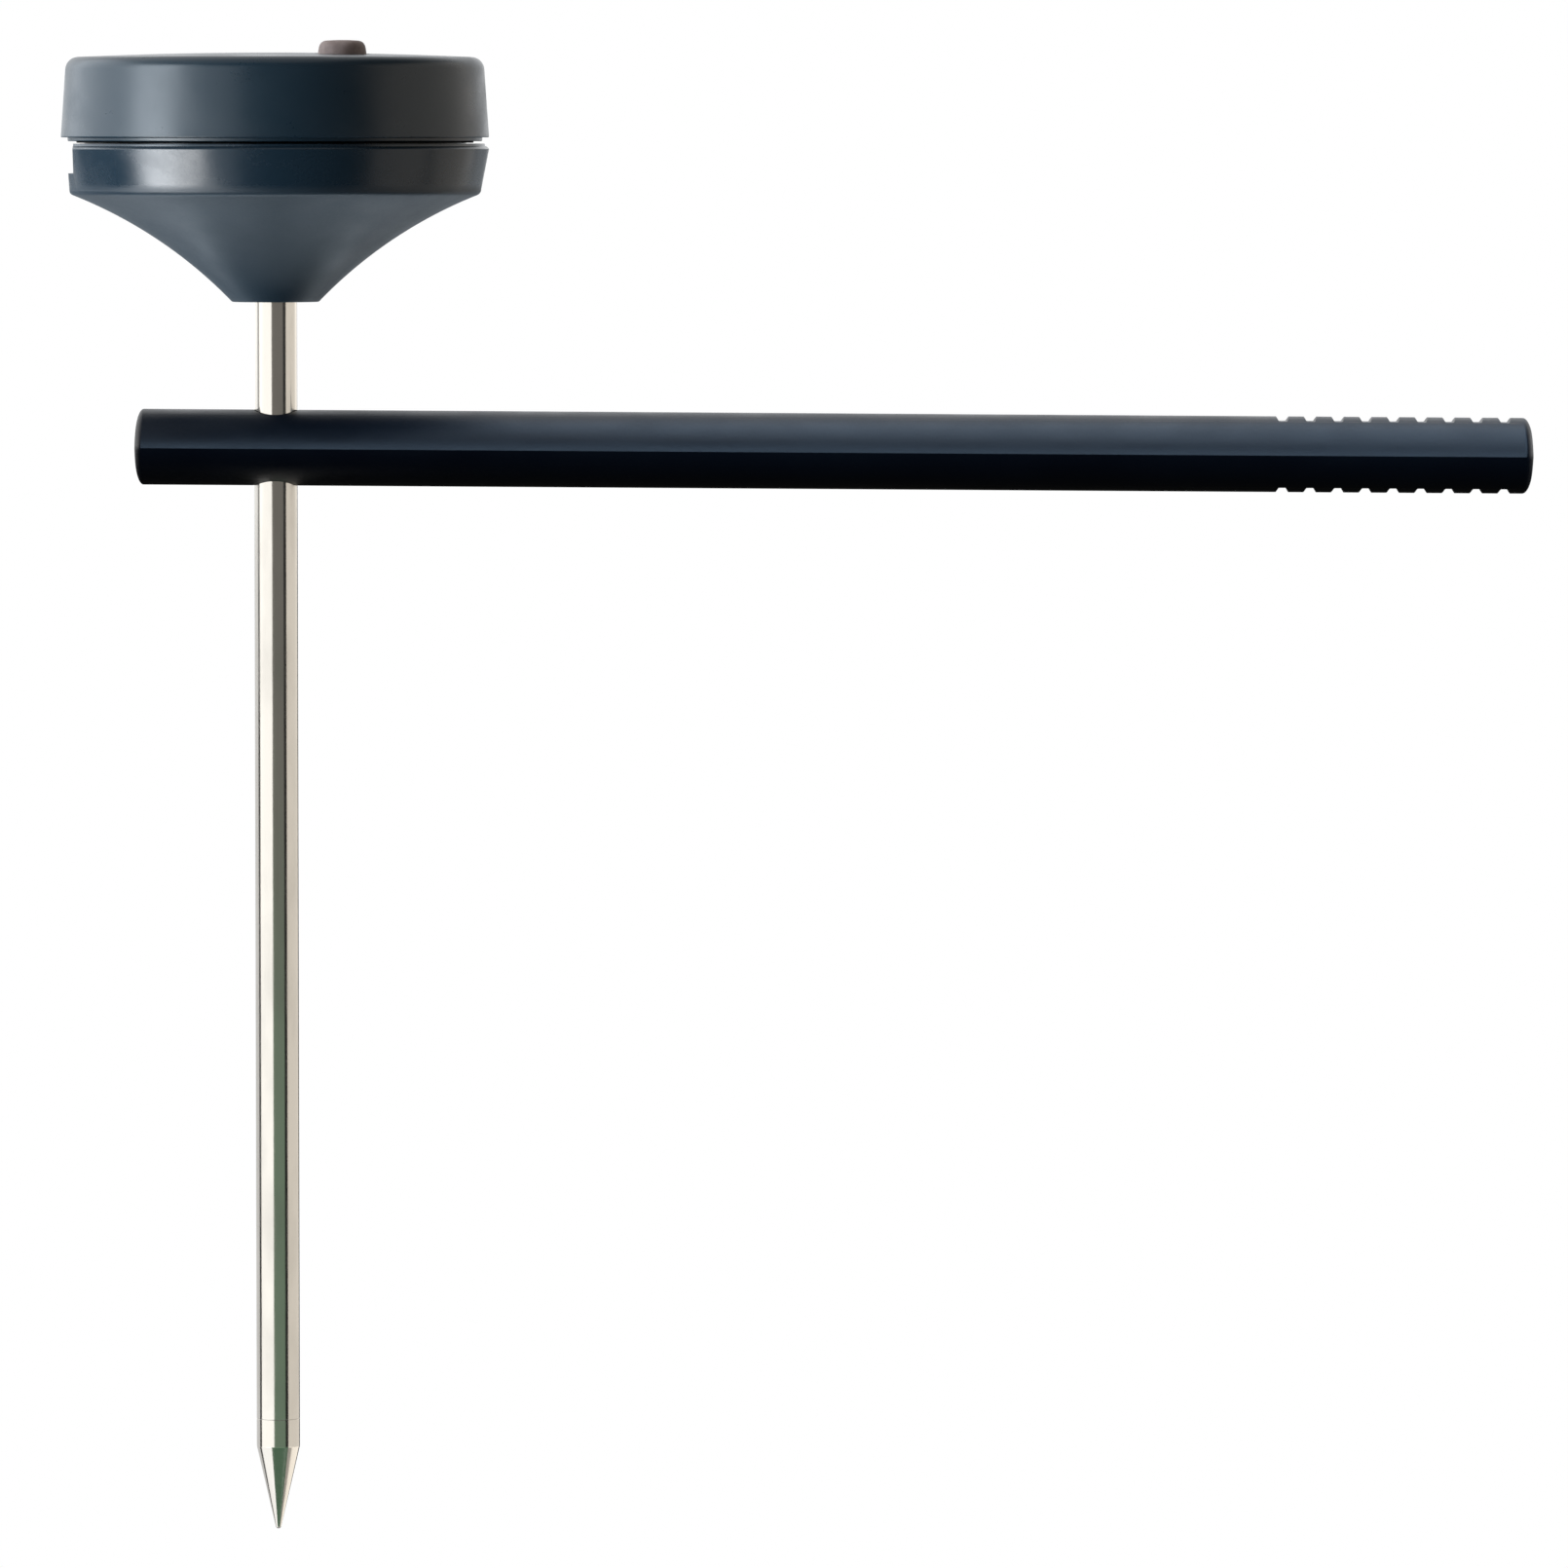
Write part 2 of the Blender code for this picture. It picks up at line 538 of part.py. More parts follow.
def make_electronics(resin, steel, ceramic):
    """The parts under the board: chip, crystal and capacitor."""
    top = BOARD_BOTTOM - GAP
    turns = [i / 4 * pi / 2 for i in range(4)]
    dome = [(CHIP_R * cos(a), top - CHIP_HEIGHT * sin(a)) for a in turns]
    turned("controller_chip", [(0, top), *dome, (0, top - CHIP_HEIGHT)], resin, at=(0, CHIP_Y))
    crystal = rectangle(CRYSTAL_LENGTH, CRYSTAL_WIDTH, (-SIDE_PARTS_X, SIDE_PARTS_Y), CRYSTAL_WIDTH / 3)
    block("timing_crystal", crystal, top - CRYSTAL_WIDTH, top, steel)
    capacitor = rectangle(CAPACITOR_LENGTH, CAPACITOR_WIDTH, (SIDE_PARTS_X, SIDE_PARTS_Y))
    block("chip_capacitor", capacitor, top - CAPACITOR_WIDTH, top, ceramic)


def make_switch(plastic, plunger_plastic):
    low = BOARD_TOP + GAP
    top = low + SWITCH_HEIGHT
    place = (BUTTON_X, BUTTON_Y)
    body = block("switch_body", rectangle(SWITCH_SIZE, SWITCH_SIZE, place, SWITCH_CORNER), low, top, plastic)
    plunger_top = top + PLUNGER_RISE
    plunger_low = plunger_top - PLUNGER_LENGTH
    well = disc(PLUNGER_R + GAP, plunger_low - PRESS_TRAVEL - GAP, top + REACH)
    combine(body, turned("switch_well", well, at=place))
    outline = disc(PLUNGER_R, plunger_low, plunger_top)
    turned("switch_plunger", outline, plunger_plastic, at=place, origin=(*place, plunger_top))


def make_power(steel, spring):
    """The cell on its contact plate, and the clip that reaches over it."""
    place = (CELL_X, CELL_Y)
    plate_z = BOARD_TOP + GAP
    cell_z = plate_z + CONTACT_THICKNESS + GAP
    cell_top = cell_z + CELL_HEIGHT
    turned("battery_contact", disc(CONTACT_R, plate_z, plate_z + CONTACT_THICKNESS), spring, at=place)
    cap_r, cap_z = CELL_R - 2 * CELL_STEP, cell_z + CELL_STEP
    outline = [(0, cell_z), (cap_r, cell_z), (cap_r, cap_z), (CELL_R, cap_z)]
    outline += [(CELL_R, cell_top - CELL_STEP), (CELL_R - CELL_STEP, cell_top), (0, cell_top)]
    turned("battery_cell", outline, steel, TUBE_FACETS, place)
    near_x = CELL_X + CELL_R + GAP
    far_x = CELL_X - CLIP_REACH
    arm_z = cell_top + GAP
    side = [
        (near_x + CLIP_FOOT, plate_z),
        (near_x + CLIP_FOOT, plate_z + CONTACT_THICKNESS),
        (near_x + CONTACT_THICKNESS, plate_z + CONTACT_THICKNESS),
        (near_x + CONTACT_THICKNESS, arm_z + CONTACT_THICKNESS),
        (far_x, arm_z + CONTACT_THICKNESS),
        (far_x, arm_z),
        (near_x, arm_z),
        (near_x, plate_z),
    ]
    shape = bmesh.new()
    extrude(shape, [(x, -z) for x, z in side], -CLIP_WIDTH / 2, CLIP_WIDTH / 2)
    shape.transform(Matrix.Translation((0, CELL_Y, 0)) @ Matrix.Rotation(-pi / 2, 4, "X"))
    new_object("battery_clip", shape, spring)


# Handle sleeve


def sleeve_section(scale, steps=14):
    """The sleeve's lens-shaped section: two shallow arcs that meet in a ridge at the front and back."""
    arch = Arc((-SLEEVE_HALF_DEPTH, 0), (SLEEVE_HALF_DEPTH, 0), SLEEVE_HALF_HEIGHT).points(steps)
    return [(y * scale, z * scale) for y, z in arch[:-1] + [(-y, -z) for y, z in arch[:-1]]]


def end_rings(depth, steps=7):
    """How far in from a rounded end each ring lies, with its scale, outermost first."""
    scales = [sin(i / steps * pi / 2) for i in range(1, steps + 1)]
    return [(depth * (1 - sqrt(1 - min(scale, 1) ** 2.5)), scale) for scale in scales]


def sleeve_shape():
    short, long = map(end_rings, SLEEVE_END_ROUNDING)
    places = [(-SLEEVE_SHORT_END + inset, scale) for inset, scale in short]
    places += [(SLEEVE_LONG_END - inset, scale) for inset, scale in reversed(long)]
    shape = bmesh.new()
    loops = []
    for x, scale in places:
        ring_verts = [shape.verts.new((x, y, SLEEVE_Z + z)) for y, z in sleeve_section(scale)]
        loops.append([shape.edges.new(pair) for pair in zip(ring_verts, ring_verts[1:] + ring_verts[:1])])
    for near, far in zip(loops, loops[1:]):
        bmesh.ops.bridge_loops(shape, edges=near + far)
    for end in (loops[0], loops[-1]):
        bmesh.ops.contextual_create(shape, geom=end)
    return shape


def notch_cutter():
    """All the grip notches, top and bottom, as one cutter."""
    shape = bmesh.new()
    deep = SLEEVE_HALF_HEIGHT - NOTCH_DEPTH
    slope = (NOTCH_MOUTH - NOTCH_FLOOR) / 2 / NOTCH_DEPTH
    high = SLEEVE_HALF_HEIGHT + REACH
    wide = NOTCH_FLOOR / 2 + slope * (high - deep)
    for index in range(NOTCHES):
        x = SLEEVE_LONG_END - NOTCH_FROM_END - index * NOTCH_PITCH
        for side in (-1, 1):
            outline = [(x - NOTCH_FLOOR / 2, deep), (x + NOTCH_FLOOR / 2, deep)]
            outline += [(x + wide, high), (x - wide, high)]
            before = set(shape.verts)
            extrude(shape, outline, -SLEEVE_HALF_DEPTH, SLEEVE_HALF_DEPTH)
            for vert in set(shape.verts) - before:
                along, height, depth = vert.co
                vert.co = (along, depth, SLEEVE_Z + side * height)
    return new_object("grip_notches", shape, origin=(0, 0, SLEEVE_Z))


def storage_bore_cutter():
    """The long hole that takes the probe for storage, shaped to its point."""
    bore_r = STEM_BORE_R
    point_x = SLEEVE_LONG_END - STEM_LENGTH - GAP
    outline = [(0, point_x), (TIP_BLUNT_R + GAP, point_x), (bore_r, point_x + TIP_CONE + GAP)]
    mouth_x, mouth_r = SLEEVE_LONG_END, bore_r + BORE_LEAD_IN
    outline += [(bore_r, mouth_x - 2 * BORE_LEAD_IN), (mouth_r, mouth_x), (mouth_r, mouth_x + REACH)]
    outline += [(0, mouth_x + REACH)]
    shape = bmesh.new()
    turn(shape, outline, TUBE_FACETS)
    shape.transform(Matrix.Translation((0, 0, SLEEVE_Z)) @ Matrix.Rotation(pi / 2, 4, "Y"))
    return new_object("storage_bore", shape, origin=(0, 0, SLEEVE_Z))


def cross_hole_cutter():
    """The hole the stem passes through, with the groove that holds the grip ring."""
    groove_r = STEM_BORE_R + GRIP_RING_WALL + GAP
    middle = SLEEVE_Z - GRIP_RING_DROP
    half = GRIP_RING_HEIGHT / 2 + SLACK
    reach = SLEEVE_HALF_HEIGHT + REACH
    outline = [(0, SLEEVE_Z - reach), (STEM_BORE_R, SLEEVE_Z - reach), (STEM_BORE_R, middle - half)]
    outline += [(groove_r, middle - half), (groove_r, middle + half), (STEM_BORE_R, middle + half)]
    outline += [(STEM_BORE_R, SLEEVE_Z + reach), (0, SLEEVE_Z + reach)]
    return turned("cross_hole", outline, facets=TUBE_FACETS)


def make_handle(plastic, silicone):
    sleeve = new_object("handle_sleeve", sleeve_shape(), plastic, (0, 0, SLEEVE_Z))
    notches, bore = notch_cutter(), storage_bore_cutter()
    for tilted in (sleeve, notches, bore):
        tilted.rotation_euler.y = SLEEVE_DROOP * pi / 180
    for cutter in (notches, bore, cross_hole_cutter()):
        combine(sleeve, cutter)
    middle = SLEEVE_Z - GRIP_RING_DROP
    half = GRIP_RING_HEIGHT / 2
    outline = ring(STEM_BORE_R - GRIP_BITE, STEM_BORE_R + GRIP_RING_WALL, middle - half, middle + half)
    turned("grip_ring", outline, silicone, TUBE_FACETS, origin=(0, 0, middle))


def build():
    for item in list(bpy.data.objects):
        bpy.data.objects.remove(item, do_unlink=True)
    navy = finish("navy_plastic", (0.018, 0.030, 0.042), 0.42)
    taupe = finish("button_rubber", (0.10, 0.080, 0.076), 0.62)
    steel = finish("stainless_steel", (0.62, 0.60, 0.56), 0.18, 1.0)
    black_rubber = finish("black_rubber", (0.01, 0.011, 0.012), 0.7)
    brass = finish("brass", (0.72, 0.52, 0.22), 0.3, 1.0)
    clear = finish("clear_window", (0.80, 0.86, 0.86), 0.06, 0.0, 0.35)
    board_green = finish("board_green", (0.02, 0.16, 0.06), 0.45)
    white = finish("white_plastic", (0.75, 0.75, 0.72), 0.5)
    black = finish("black_plastic", (0.012, 0.012, 0.013), 0.5)
    polariser = finish("display_glass", (0.42, 0.47, 0.40), 0.12)
    epoxy = finish("epoxy", (0.04, 0.03, 0.025), 0.25)
    spring = finish("nickel_spring", (0.66, 0.64, 0.58), 0.25, 1.0)
    ceramic = finish("ceramic", (0.45, 0.32, 0.20), 0.5)
    silicone = finish("grey_silicone", (0.20, 0.21, 0.22), 0.6)
    red = finish("red_insulation", (0.45, 0.02, 0.02), 0.5)

    make_tip(steel)
    make_stem(steel)
    make_sensor(epoxy, black_rubber)
    make_lead("sensor_lead_a", -1, red)
    make_lead("sensor_lead_b", 1, black)
    make_lower_shell(navy)
    make_neck_fittings(brass, black_rubber, epoxy)
    make_cover(navy)
    make_window(clear)
    make_button(taupe)
    make_seal(black_rubber)
    make_board(board_green)
    make_screws(steel)
    make_display(polariser, white, silicone)
    make_electronics(epoxy, steel, ceramic)
    make_switch(black, white)
    make_power(steel, spring)
    make_handle(navy, silicone)


build()
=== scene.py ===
"""Looks of the pocket soil thermometer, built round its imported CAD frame.

Shapes are written in millimetres in the row frame: +Z up the stem, +X along the handle sleeve, and the
display read from the -Y side. new_object turns them into metres.
"""

import json
from math import atan2, cos, hypot, pi, radians, sin, sqrt, tan

import bmesh
import bpy
from mathutils import Matrix, Vector

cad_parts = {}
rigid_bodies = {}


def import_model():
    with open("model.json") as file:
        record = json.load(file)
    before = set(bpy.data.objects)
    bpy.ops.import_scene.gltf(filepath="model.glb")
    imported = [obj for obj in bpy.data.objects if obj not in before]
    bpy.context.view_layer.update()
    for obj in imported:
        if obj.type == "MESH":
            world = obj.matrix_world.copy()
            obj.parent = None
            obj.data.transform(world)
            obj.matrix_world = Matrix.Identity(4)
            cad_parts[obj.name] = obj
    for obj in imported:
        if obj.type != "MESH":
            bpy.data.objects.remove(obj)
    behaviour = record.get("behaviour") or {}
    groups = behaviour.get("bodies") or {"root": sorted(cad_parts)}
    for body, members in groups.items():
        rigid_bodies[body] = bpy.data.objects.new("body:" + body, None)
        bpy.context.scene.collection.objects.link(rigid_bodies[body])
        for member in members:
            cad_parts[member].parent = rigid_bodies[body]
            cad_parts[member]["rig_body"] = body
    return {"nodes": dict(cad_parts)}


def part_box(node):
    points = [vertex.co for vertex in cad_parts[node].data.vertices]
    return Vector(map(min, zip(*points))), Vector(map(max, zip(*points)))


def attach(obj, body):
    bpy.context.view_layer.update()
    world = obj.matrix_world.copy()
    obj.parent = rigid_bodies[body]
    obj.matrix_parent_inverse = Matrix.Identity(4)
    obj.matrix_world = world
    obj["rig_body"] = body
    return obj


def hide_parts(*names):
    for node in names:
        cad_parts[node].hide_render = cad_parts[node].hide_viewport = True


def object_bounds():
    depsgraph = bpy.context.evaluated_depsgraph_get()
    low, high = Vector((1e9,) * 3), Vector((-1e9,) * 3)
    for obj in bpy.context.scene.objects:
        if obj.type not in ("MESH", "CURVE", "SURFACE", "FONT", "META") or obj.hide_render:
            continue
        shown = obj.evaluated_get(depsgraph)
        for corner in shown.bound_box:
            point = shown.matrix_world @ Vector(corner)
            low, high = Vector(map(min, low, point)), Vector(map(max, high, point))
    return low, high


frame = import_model()
CAD_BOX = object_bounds()
MM = 0.001


def box_mm(node):
    """Lowest and highest corner of a CAD node, in millimetres."""
    low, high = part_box(node)
    return low / MM, high / MM


# Sizes read from the frame
SHELL_LOW, SHELL_HIGH = box_mm("lower_shell")
COVER_LOW, COVER_HIGH = box_mm("upper_shell")
WINDOW_LOW, WINDOW_HIGH = box_mm("display_window")
BUTTON_LOW, BUTTON_HIGH = box_mm("power_button")
SEAL_LOW, SEAL_HIGH = box_mm("seal_ring")
TUBE_HIGH = box_mm("stem_tube")[1]
TIP_LOW, TIP_HIGH = box_mm("probe_tip")
BOARD_LOW, BOARD_HIGH = box_mm("circuit_board")
PANEL_LOW, PANEL_HIGH = box_mm("lcd_panel")
CELL_LOW, CELL_HIGH = box_mm("battery_cell")
SWITCH_LOW, SWITCH_HIGH = box_mm("switch_body")
GRIP_LOW, GRIP_HIGH = box_mm("grip_ring")
SLEEVE_HIGH = box_mm("handle_sleeve")[1]

HEAD_R = SHELL_HIGH.y
NECK_Z = SHELL_LOW.z
RIM_Z = SHELL_HIGH.z
CROWN_Z = COVER_HIGH.z
STEM_R = TUBE_HIGH.x
GAP = 0.3
STEM_BORE_R = STEM_R + GAP

# Lower shell
NECK_R = 4.0
DRUM_DRAFT = 0.73
CORNER_R = 0.6
CORNER_TURN = 0.72  # in quarter turns
CORNER_Z = NECK_Z + 10.38
FUNNEL_SAG = 0.95
FUNNEL_STEPS = 28
LEDGE_Z = CORNER_Z + 3.97
LEDGE_CHAMFER = 0.25
BEAD_R = HEAD_R - 0.38  # outside of the low bead round the ledge
BEAD_WIDTH = 0.8
BEAD_HEIGHT = 0.22
RIM_R = HEAD_R - 2.13
CAVITY_R = RIM_R - 1.4
FLOOR_WALL = 1.7
COLLAR_SEAT_R = STEM_R + 2.9 + GAP
COLLAR_Z = NECK_Z + 3.4
SEAL_POCKET_R = STEM_R + 1.3
SEAL_POCKET_Z = NECK_Z + 1.1
POST_TOP = BOARD_LOW.z - GAP
POST_R = 1.8
POST_HOLE_R = 1.0
POST_HOLE_DEPTH = 3.0
THUMB_FLAT_X = 1.49 - HEAD_R
THUMB_FLAT_HEIGHT = 2.5
THUMB_APRON_X = 0.9 - HEAD_R
THUMB_SLOT = Vector((0.75, 7.0, 0.5))  # depth, width and height

# Cover
PARTING_GROOVE = 0.8
COVER_RIM_Z = LEDGE_Z + PARTING_GROOVE
COVER_DRAFT = 0.43
COVER_EDGE_R = 1.2
CROWN = 0.4
CROWN_STEPS = 12
ROOF_Z = CROWN_Z - 1.85
LIP_R = HEAD_R - 0.63
LIP_WALL = 0.5
SEAT_Z = SEAL_HIGH.z + GAP
WINDOW_POCKET_Z = WINDOW_LOW.z - 0.2
WINDOW_SLACK = 0.2
WINDOW_LEDGE = 1.0
WINDOW_CORNER = 1.2
BUTTON_R = 2.25
BUTTON_FLANGE = 0.8
BORDER_INSET, BORDER_WIDTH, BORDER_THICKNESS = 0.25, 1.7, 0.08

# Figures on the display
DIGIT_HEIGHT, DIGIT_WIDTH, DIGIT_BAR = 4.2, 2.3, 0.52
DIGIT_LEAN = 0.1
DIGITS = ((-6.4, "abged"), (-3.1, "bc"), (1.2, "fgbc"))  # how far along each stands, and its lit bars
POINT_X, DEGREE_X, CELSIUS_X = -1.0, 4.2, 6.1
INK_THICKNESS = 0.03

# Marks and small parts on the board
PAD_THICKNESS = 0.03
CHIP_HEIGHT = 0.45
CHIPS = (  # where each stands, and whether its long side lies along Y
    (13.0, -0.4, True),
    (13.2, 3.0, True),
    (-13.2, 1.6, True),
    (-13.1, 5.2, True),
    (1.6, -12.6, False),
)
TEST_PADS, TEST_PAD_CIRCLE, TEST_PAD_START, TEST_PAD_PITCH = 9, 14.6, 52, 9.5

# Probe
TIP_JOINT_Z = 10.3
TUBE_WALL = 0.4

# Handle sleeve
SLEEVE_Z = (GRIP_LOW.z + GRIP_HIGH.z) / 2 + 1.6
SLEEVE_DROOP = 0.38  # in degrees
SLEEVE_HALF_DEPTH = SLEEVE_HIGH.y
SLEEVE_HALF_HEIGHT = 3.5
SLEEVE_SHORT_END, SLEEVE_LONG_END = -13.0, 116.1
NOTCHES = 9
NOTCH_PITCH = 2.56
NOTCH_FROM_END = 2.7
NOTCH_DEPTH = 0.45
NOTCH_FLOOR, NOTCH_MOUTH = 0.75, 1.2
BORE_POINT_R, BORE_CONE, BORE_LEAD_IN = 0.56, 8.05, 0.3

HEAD_FACETS = 192
ROUND_FACETS = 96
SMALL_FACETS = 48
REACH = 1.0  # how far a cutter runs past what it cuts
HAIRLINE = 0.01  # between faces that would otherwise lie in one plane
SAME_POINT = 1e-4
QUADRANTS = ((1, 1), (-1, 1), (-1, -1), (1, -1))
FULL_CIRCLE = 4  # in quarter turns


# Shapes


def fillet(centre, radius, first, last, steps=6):
    """Points round a corner, from one angle to another in quarter turns."""
    angles = [(first + (last - first) * i / steps) * pi / 2 for i in range(steps + 1)]
    return [(centre[0] + radius * cos(a), centre[1] + radius * sin(a)) for a in angles]


class Arc:
    """A shallow circular arc in the (radius, height) plane, bulging to the left of its direction."""

    def __init__(self, start, end, sag):
        self.start, self.end = Vector(start), Vector(end)
        chord = self.end - self.start
        self.radius = (chord.length**2 / 4 + sag**2) / (2 * sag)
        left = Vector((-chord.y, chord.x)).normalized()
        self.centre = (self.start + self.end) / 2 - left * (self.radius - sag)

    def points(self, steps):
        first = atan2(*reversed(self.start - self.centre))
        last = atan2(*reversed(self.end - self.centre))
        angles = [first + (last - first) * i / steps for i in range(steps + 1)]
        return [tuple(self.centre + self.radius * Vector((cos(a), sin(a)))) for a in angles]

    def height_at(self, radius):
        return self.centre.y + sqrt(self.radius**2 - (radius - self.centre.x) ** 2)


def soften(corners, steps=4):
    """An outline's points. A corner with a third number is rounded to about that radius."""
    points = []
    for index, corner in enumerate(corners):
        here = Vector(corner[:2])
        if len(corner) == 2:
            points.append(tuple(here))
            continue
        back = Vector(corners[index - 1][:2]) - here
        on = Vector(corners[(index + 1) % len(corners)][:2]) - here
        reach = min(corner[2] / tan(back.angle(on) / 2), back.length / 2, on.length / 2)
        start, end = here + back.normalized() * reach, here + on.normalized() * reach
        for step in range(steps + 1):
            t = step / steps
            points.append(tuple(start * (1 - t) ** 2 + here * 2 * t * (1 - t) + end * t * t))
    return points


def turn(shape, outline, facets, at=(0, 0)):
    """Spins a (radius, height) outline round the upright axis through the point at."""
    points = [shape.verts.new((at[0] + r, at[1], z)) for r, z in outline]
    on_axis = outline[0][0] == 0 and outline[-1][0] == 0
    pairs = list(zip(points, points[1:])) + ([] if on_axis else [(points[-1], points[0])])
    edges = [shape.edges.new(pair) for pair in pairs]
    bmesh.ops.spin(
        shape,
        geom=points + edges,
        cent=(*at, 0),
        axis=(0, 0, 1),
        angle=2 * pi,
        steps=facets,
        use_merge=True,
    )


def turned(outline, facets=SMALL_FACETS, at=(0, 0)):
    shape = bmesh.new()
    turn(shape, outline, facets, at)
    return shape


def disc(radius, low, high):
    """Outline of a plain round cutter."""
    return [(0, low), (radius, low), (radius, high), (0, high)]


def rectangle(width, depth, at=(0, 0), corner=0.0, steps=8):
    """Corners of a flat rectangle, rounded where corner isn't 0, anticlockwise."""
    half = (width / 2 - corner, depth / 2 - corner)
    points = []
    for quarter, (sx, sy) in enumerate(QUADRANTS):
        centre = (at[0] + sx * half[0], at[1] + sy * half[1])
        points += fillet(centre, corner, quarter, quarter + 1, steps) if corner else [centre]
    return points


def extrude(shape, outline, low, high):
    """Raises a flat outline from one height to another, as a closed solid."""
    face = shape.faces.new([shape.verts.new((x, y, low)) for x, y in outline])
    raised = bmesh.ops.extrude_face_region(shape, geom=[face])
    top = [item for item in raised["geom"] if isinstance(item, bmesh.types.BMVert)]
    bmesh.ops.translate(shape, verts=top, vec=(0, 0, high - low))


def extruded(outline, low, high):
    shape = bmesh.new()
    extrude(shape, outline, low, high)
    return shape


def new_object(name, shape):
    """Turns a bmesh in millimetres into an object in metres, smooth except at its sharp edges."""
    bmesh.ops.remove_doubles(shape, verts=shape.verts, dist=SAME_POINT)
    bmesh.ops.recalc_face_normals(shape, faces=shape.faces)
    shape.transform(Matrix.Scale(MM, 4))
    mesh = bpy.data.meshes.new(name)
    shape.to_mesh(mesh)
    shape.free()
    made = bpy.data.objects.new(name, mesh)
    bpy.context.scene.collection.objects.link(made)
    return made


def apply_modifiers(piece):
    piece.data = bpy.data.meshes.new_from_object(
        piece.evaluated_get(bpy.context.evaluated_depsgraph_get())
    )
    piece.modifiers.clear()


def split_wide_faces(piece):
    """Makes triangles of the faces with many corners, which a Boolean can lose."""
    shape = bmesh.new()
    shape.from_mesh(piece.data)
    bmesh.ops.triangulate(shape, faces=[face for face in shape.faces if len(face.verts) > 4])
    shape.to_mesh(piece.data)
    shape.free()


def combine(piece, shapes, operation="DIFFERENCE"):
    """Cuts shapes away from a piece, or joins them to it, one after the other."""
    for shape in shapes:
        split_wide_faces(piece)
        other = new_object("cutter", shape)
        modifier = piece.modifiers.new(other.name, "BOOLEAN")
        modifier.operation = operation
        modifier.solver = "EXACT"
        modifier.object = other
        apply_modifiers(piece)
        bpy.data.objects.remove(other, do_unlink=True)


def bevel_edges(piece, width, angle=40, segments=3):
    """Rounds the edges that turn by more than an angle in degrees, to a width in millimetres.

    The mesh is in metres. Points that the bevel brings together are merged, or a later Boolean tears it.
    """
    before, after = 1e-8, 5e-7
    shape = bmesh.new()
    shape.from_mesh(piece.data)
    bmesh.ops.remove_doubles(shape, verts=shape.verts, dist=before)
    sharp = [e for e in shape.edges if e.is_manifold and e.calc_face_angle(0) > radians(angle)]
    bmesh.ops.bevel(
        shape,
        geom=sharp,
        offset=width * MM,
        offset_type="OFFSET",
        segments=segments,
        profile=0.5,
        affect="EDGES",
        clamp_overlap=True,
    )
    bmesh.ops.remove_doubles(shape, verts=shape.verts, dist=after)
    bmesh.ops.dissolve_degenerate(shape, edges=shape.edges, dist=after)
    shape.to_mesh(piece.data)
    shape.free()


def place_piece(piece, body, material, nodes=(), smooth_angle=32):
    """Gives a piece its finish and its body, and hides the CAD nodes it stands for."""
    mesh = piece.data
    mesh.materials.clear()
    mesh.materials.append(material)
    mesh.shade_smooth()
    mesh.set_sharp_from_angle(angle=radians(smooth_angle))
    weighted = piece.modifiers.new("weighted", "WEIGHTED_NORMAL")
    weighted.keep_sharp = True
    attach(piece, body)
    if nodes:
        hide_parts(*nodes)
    return piece


def body_of(node):
    return frame["nodes"][node]["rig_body"]


# Materials


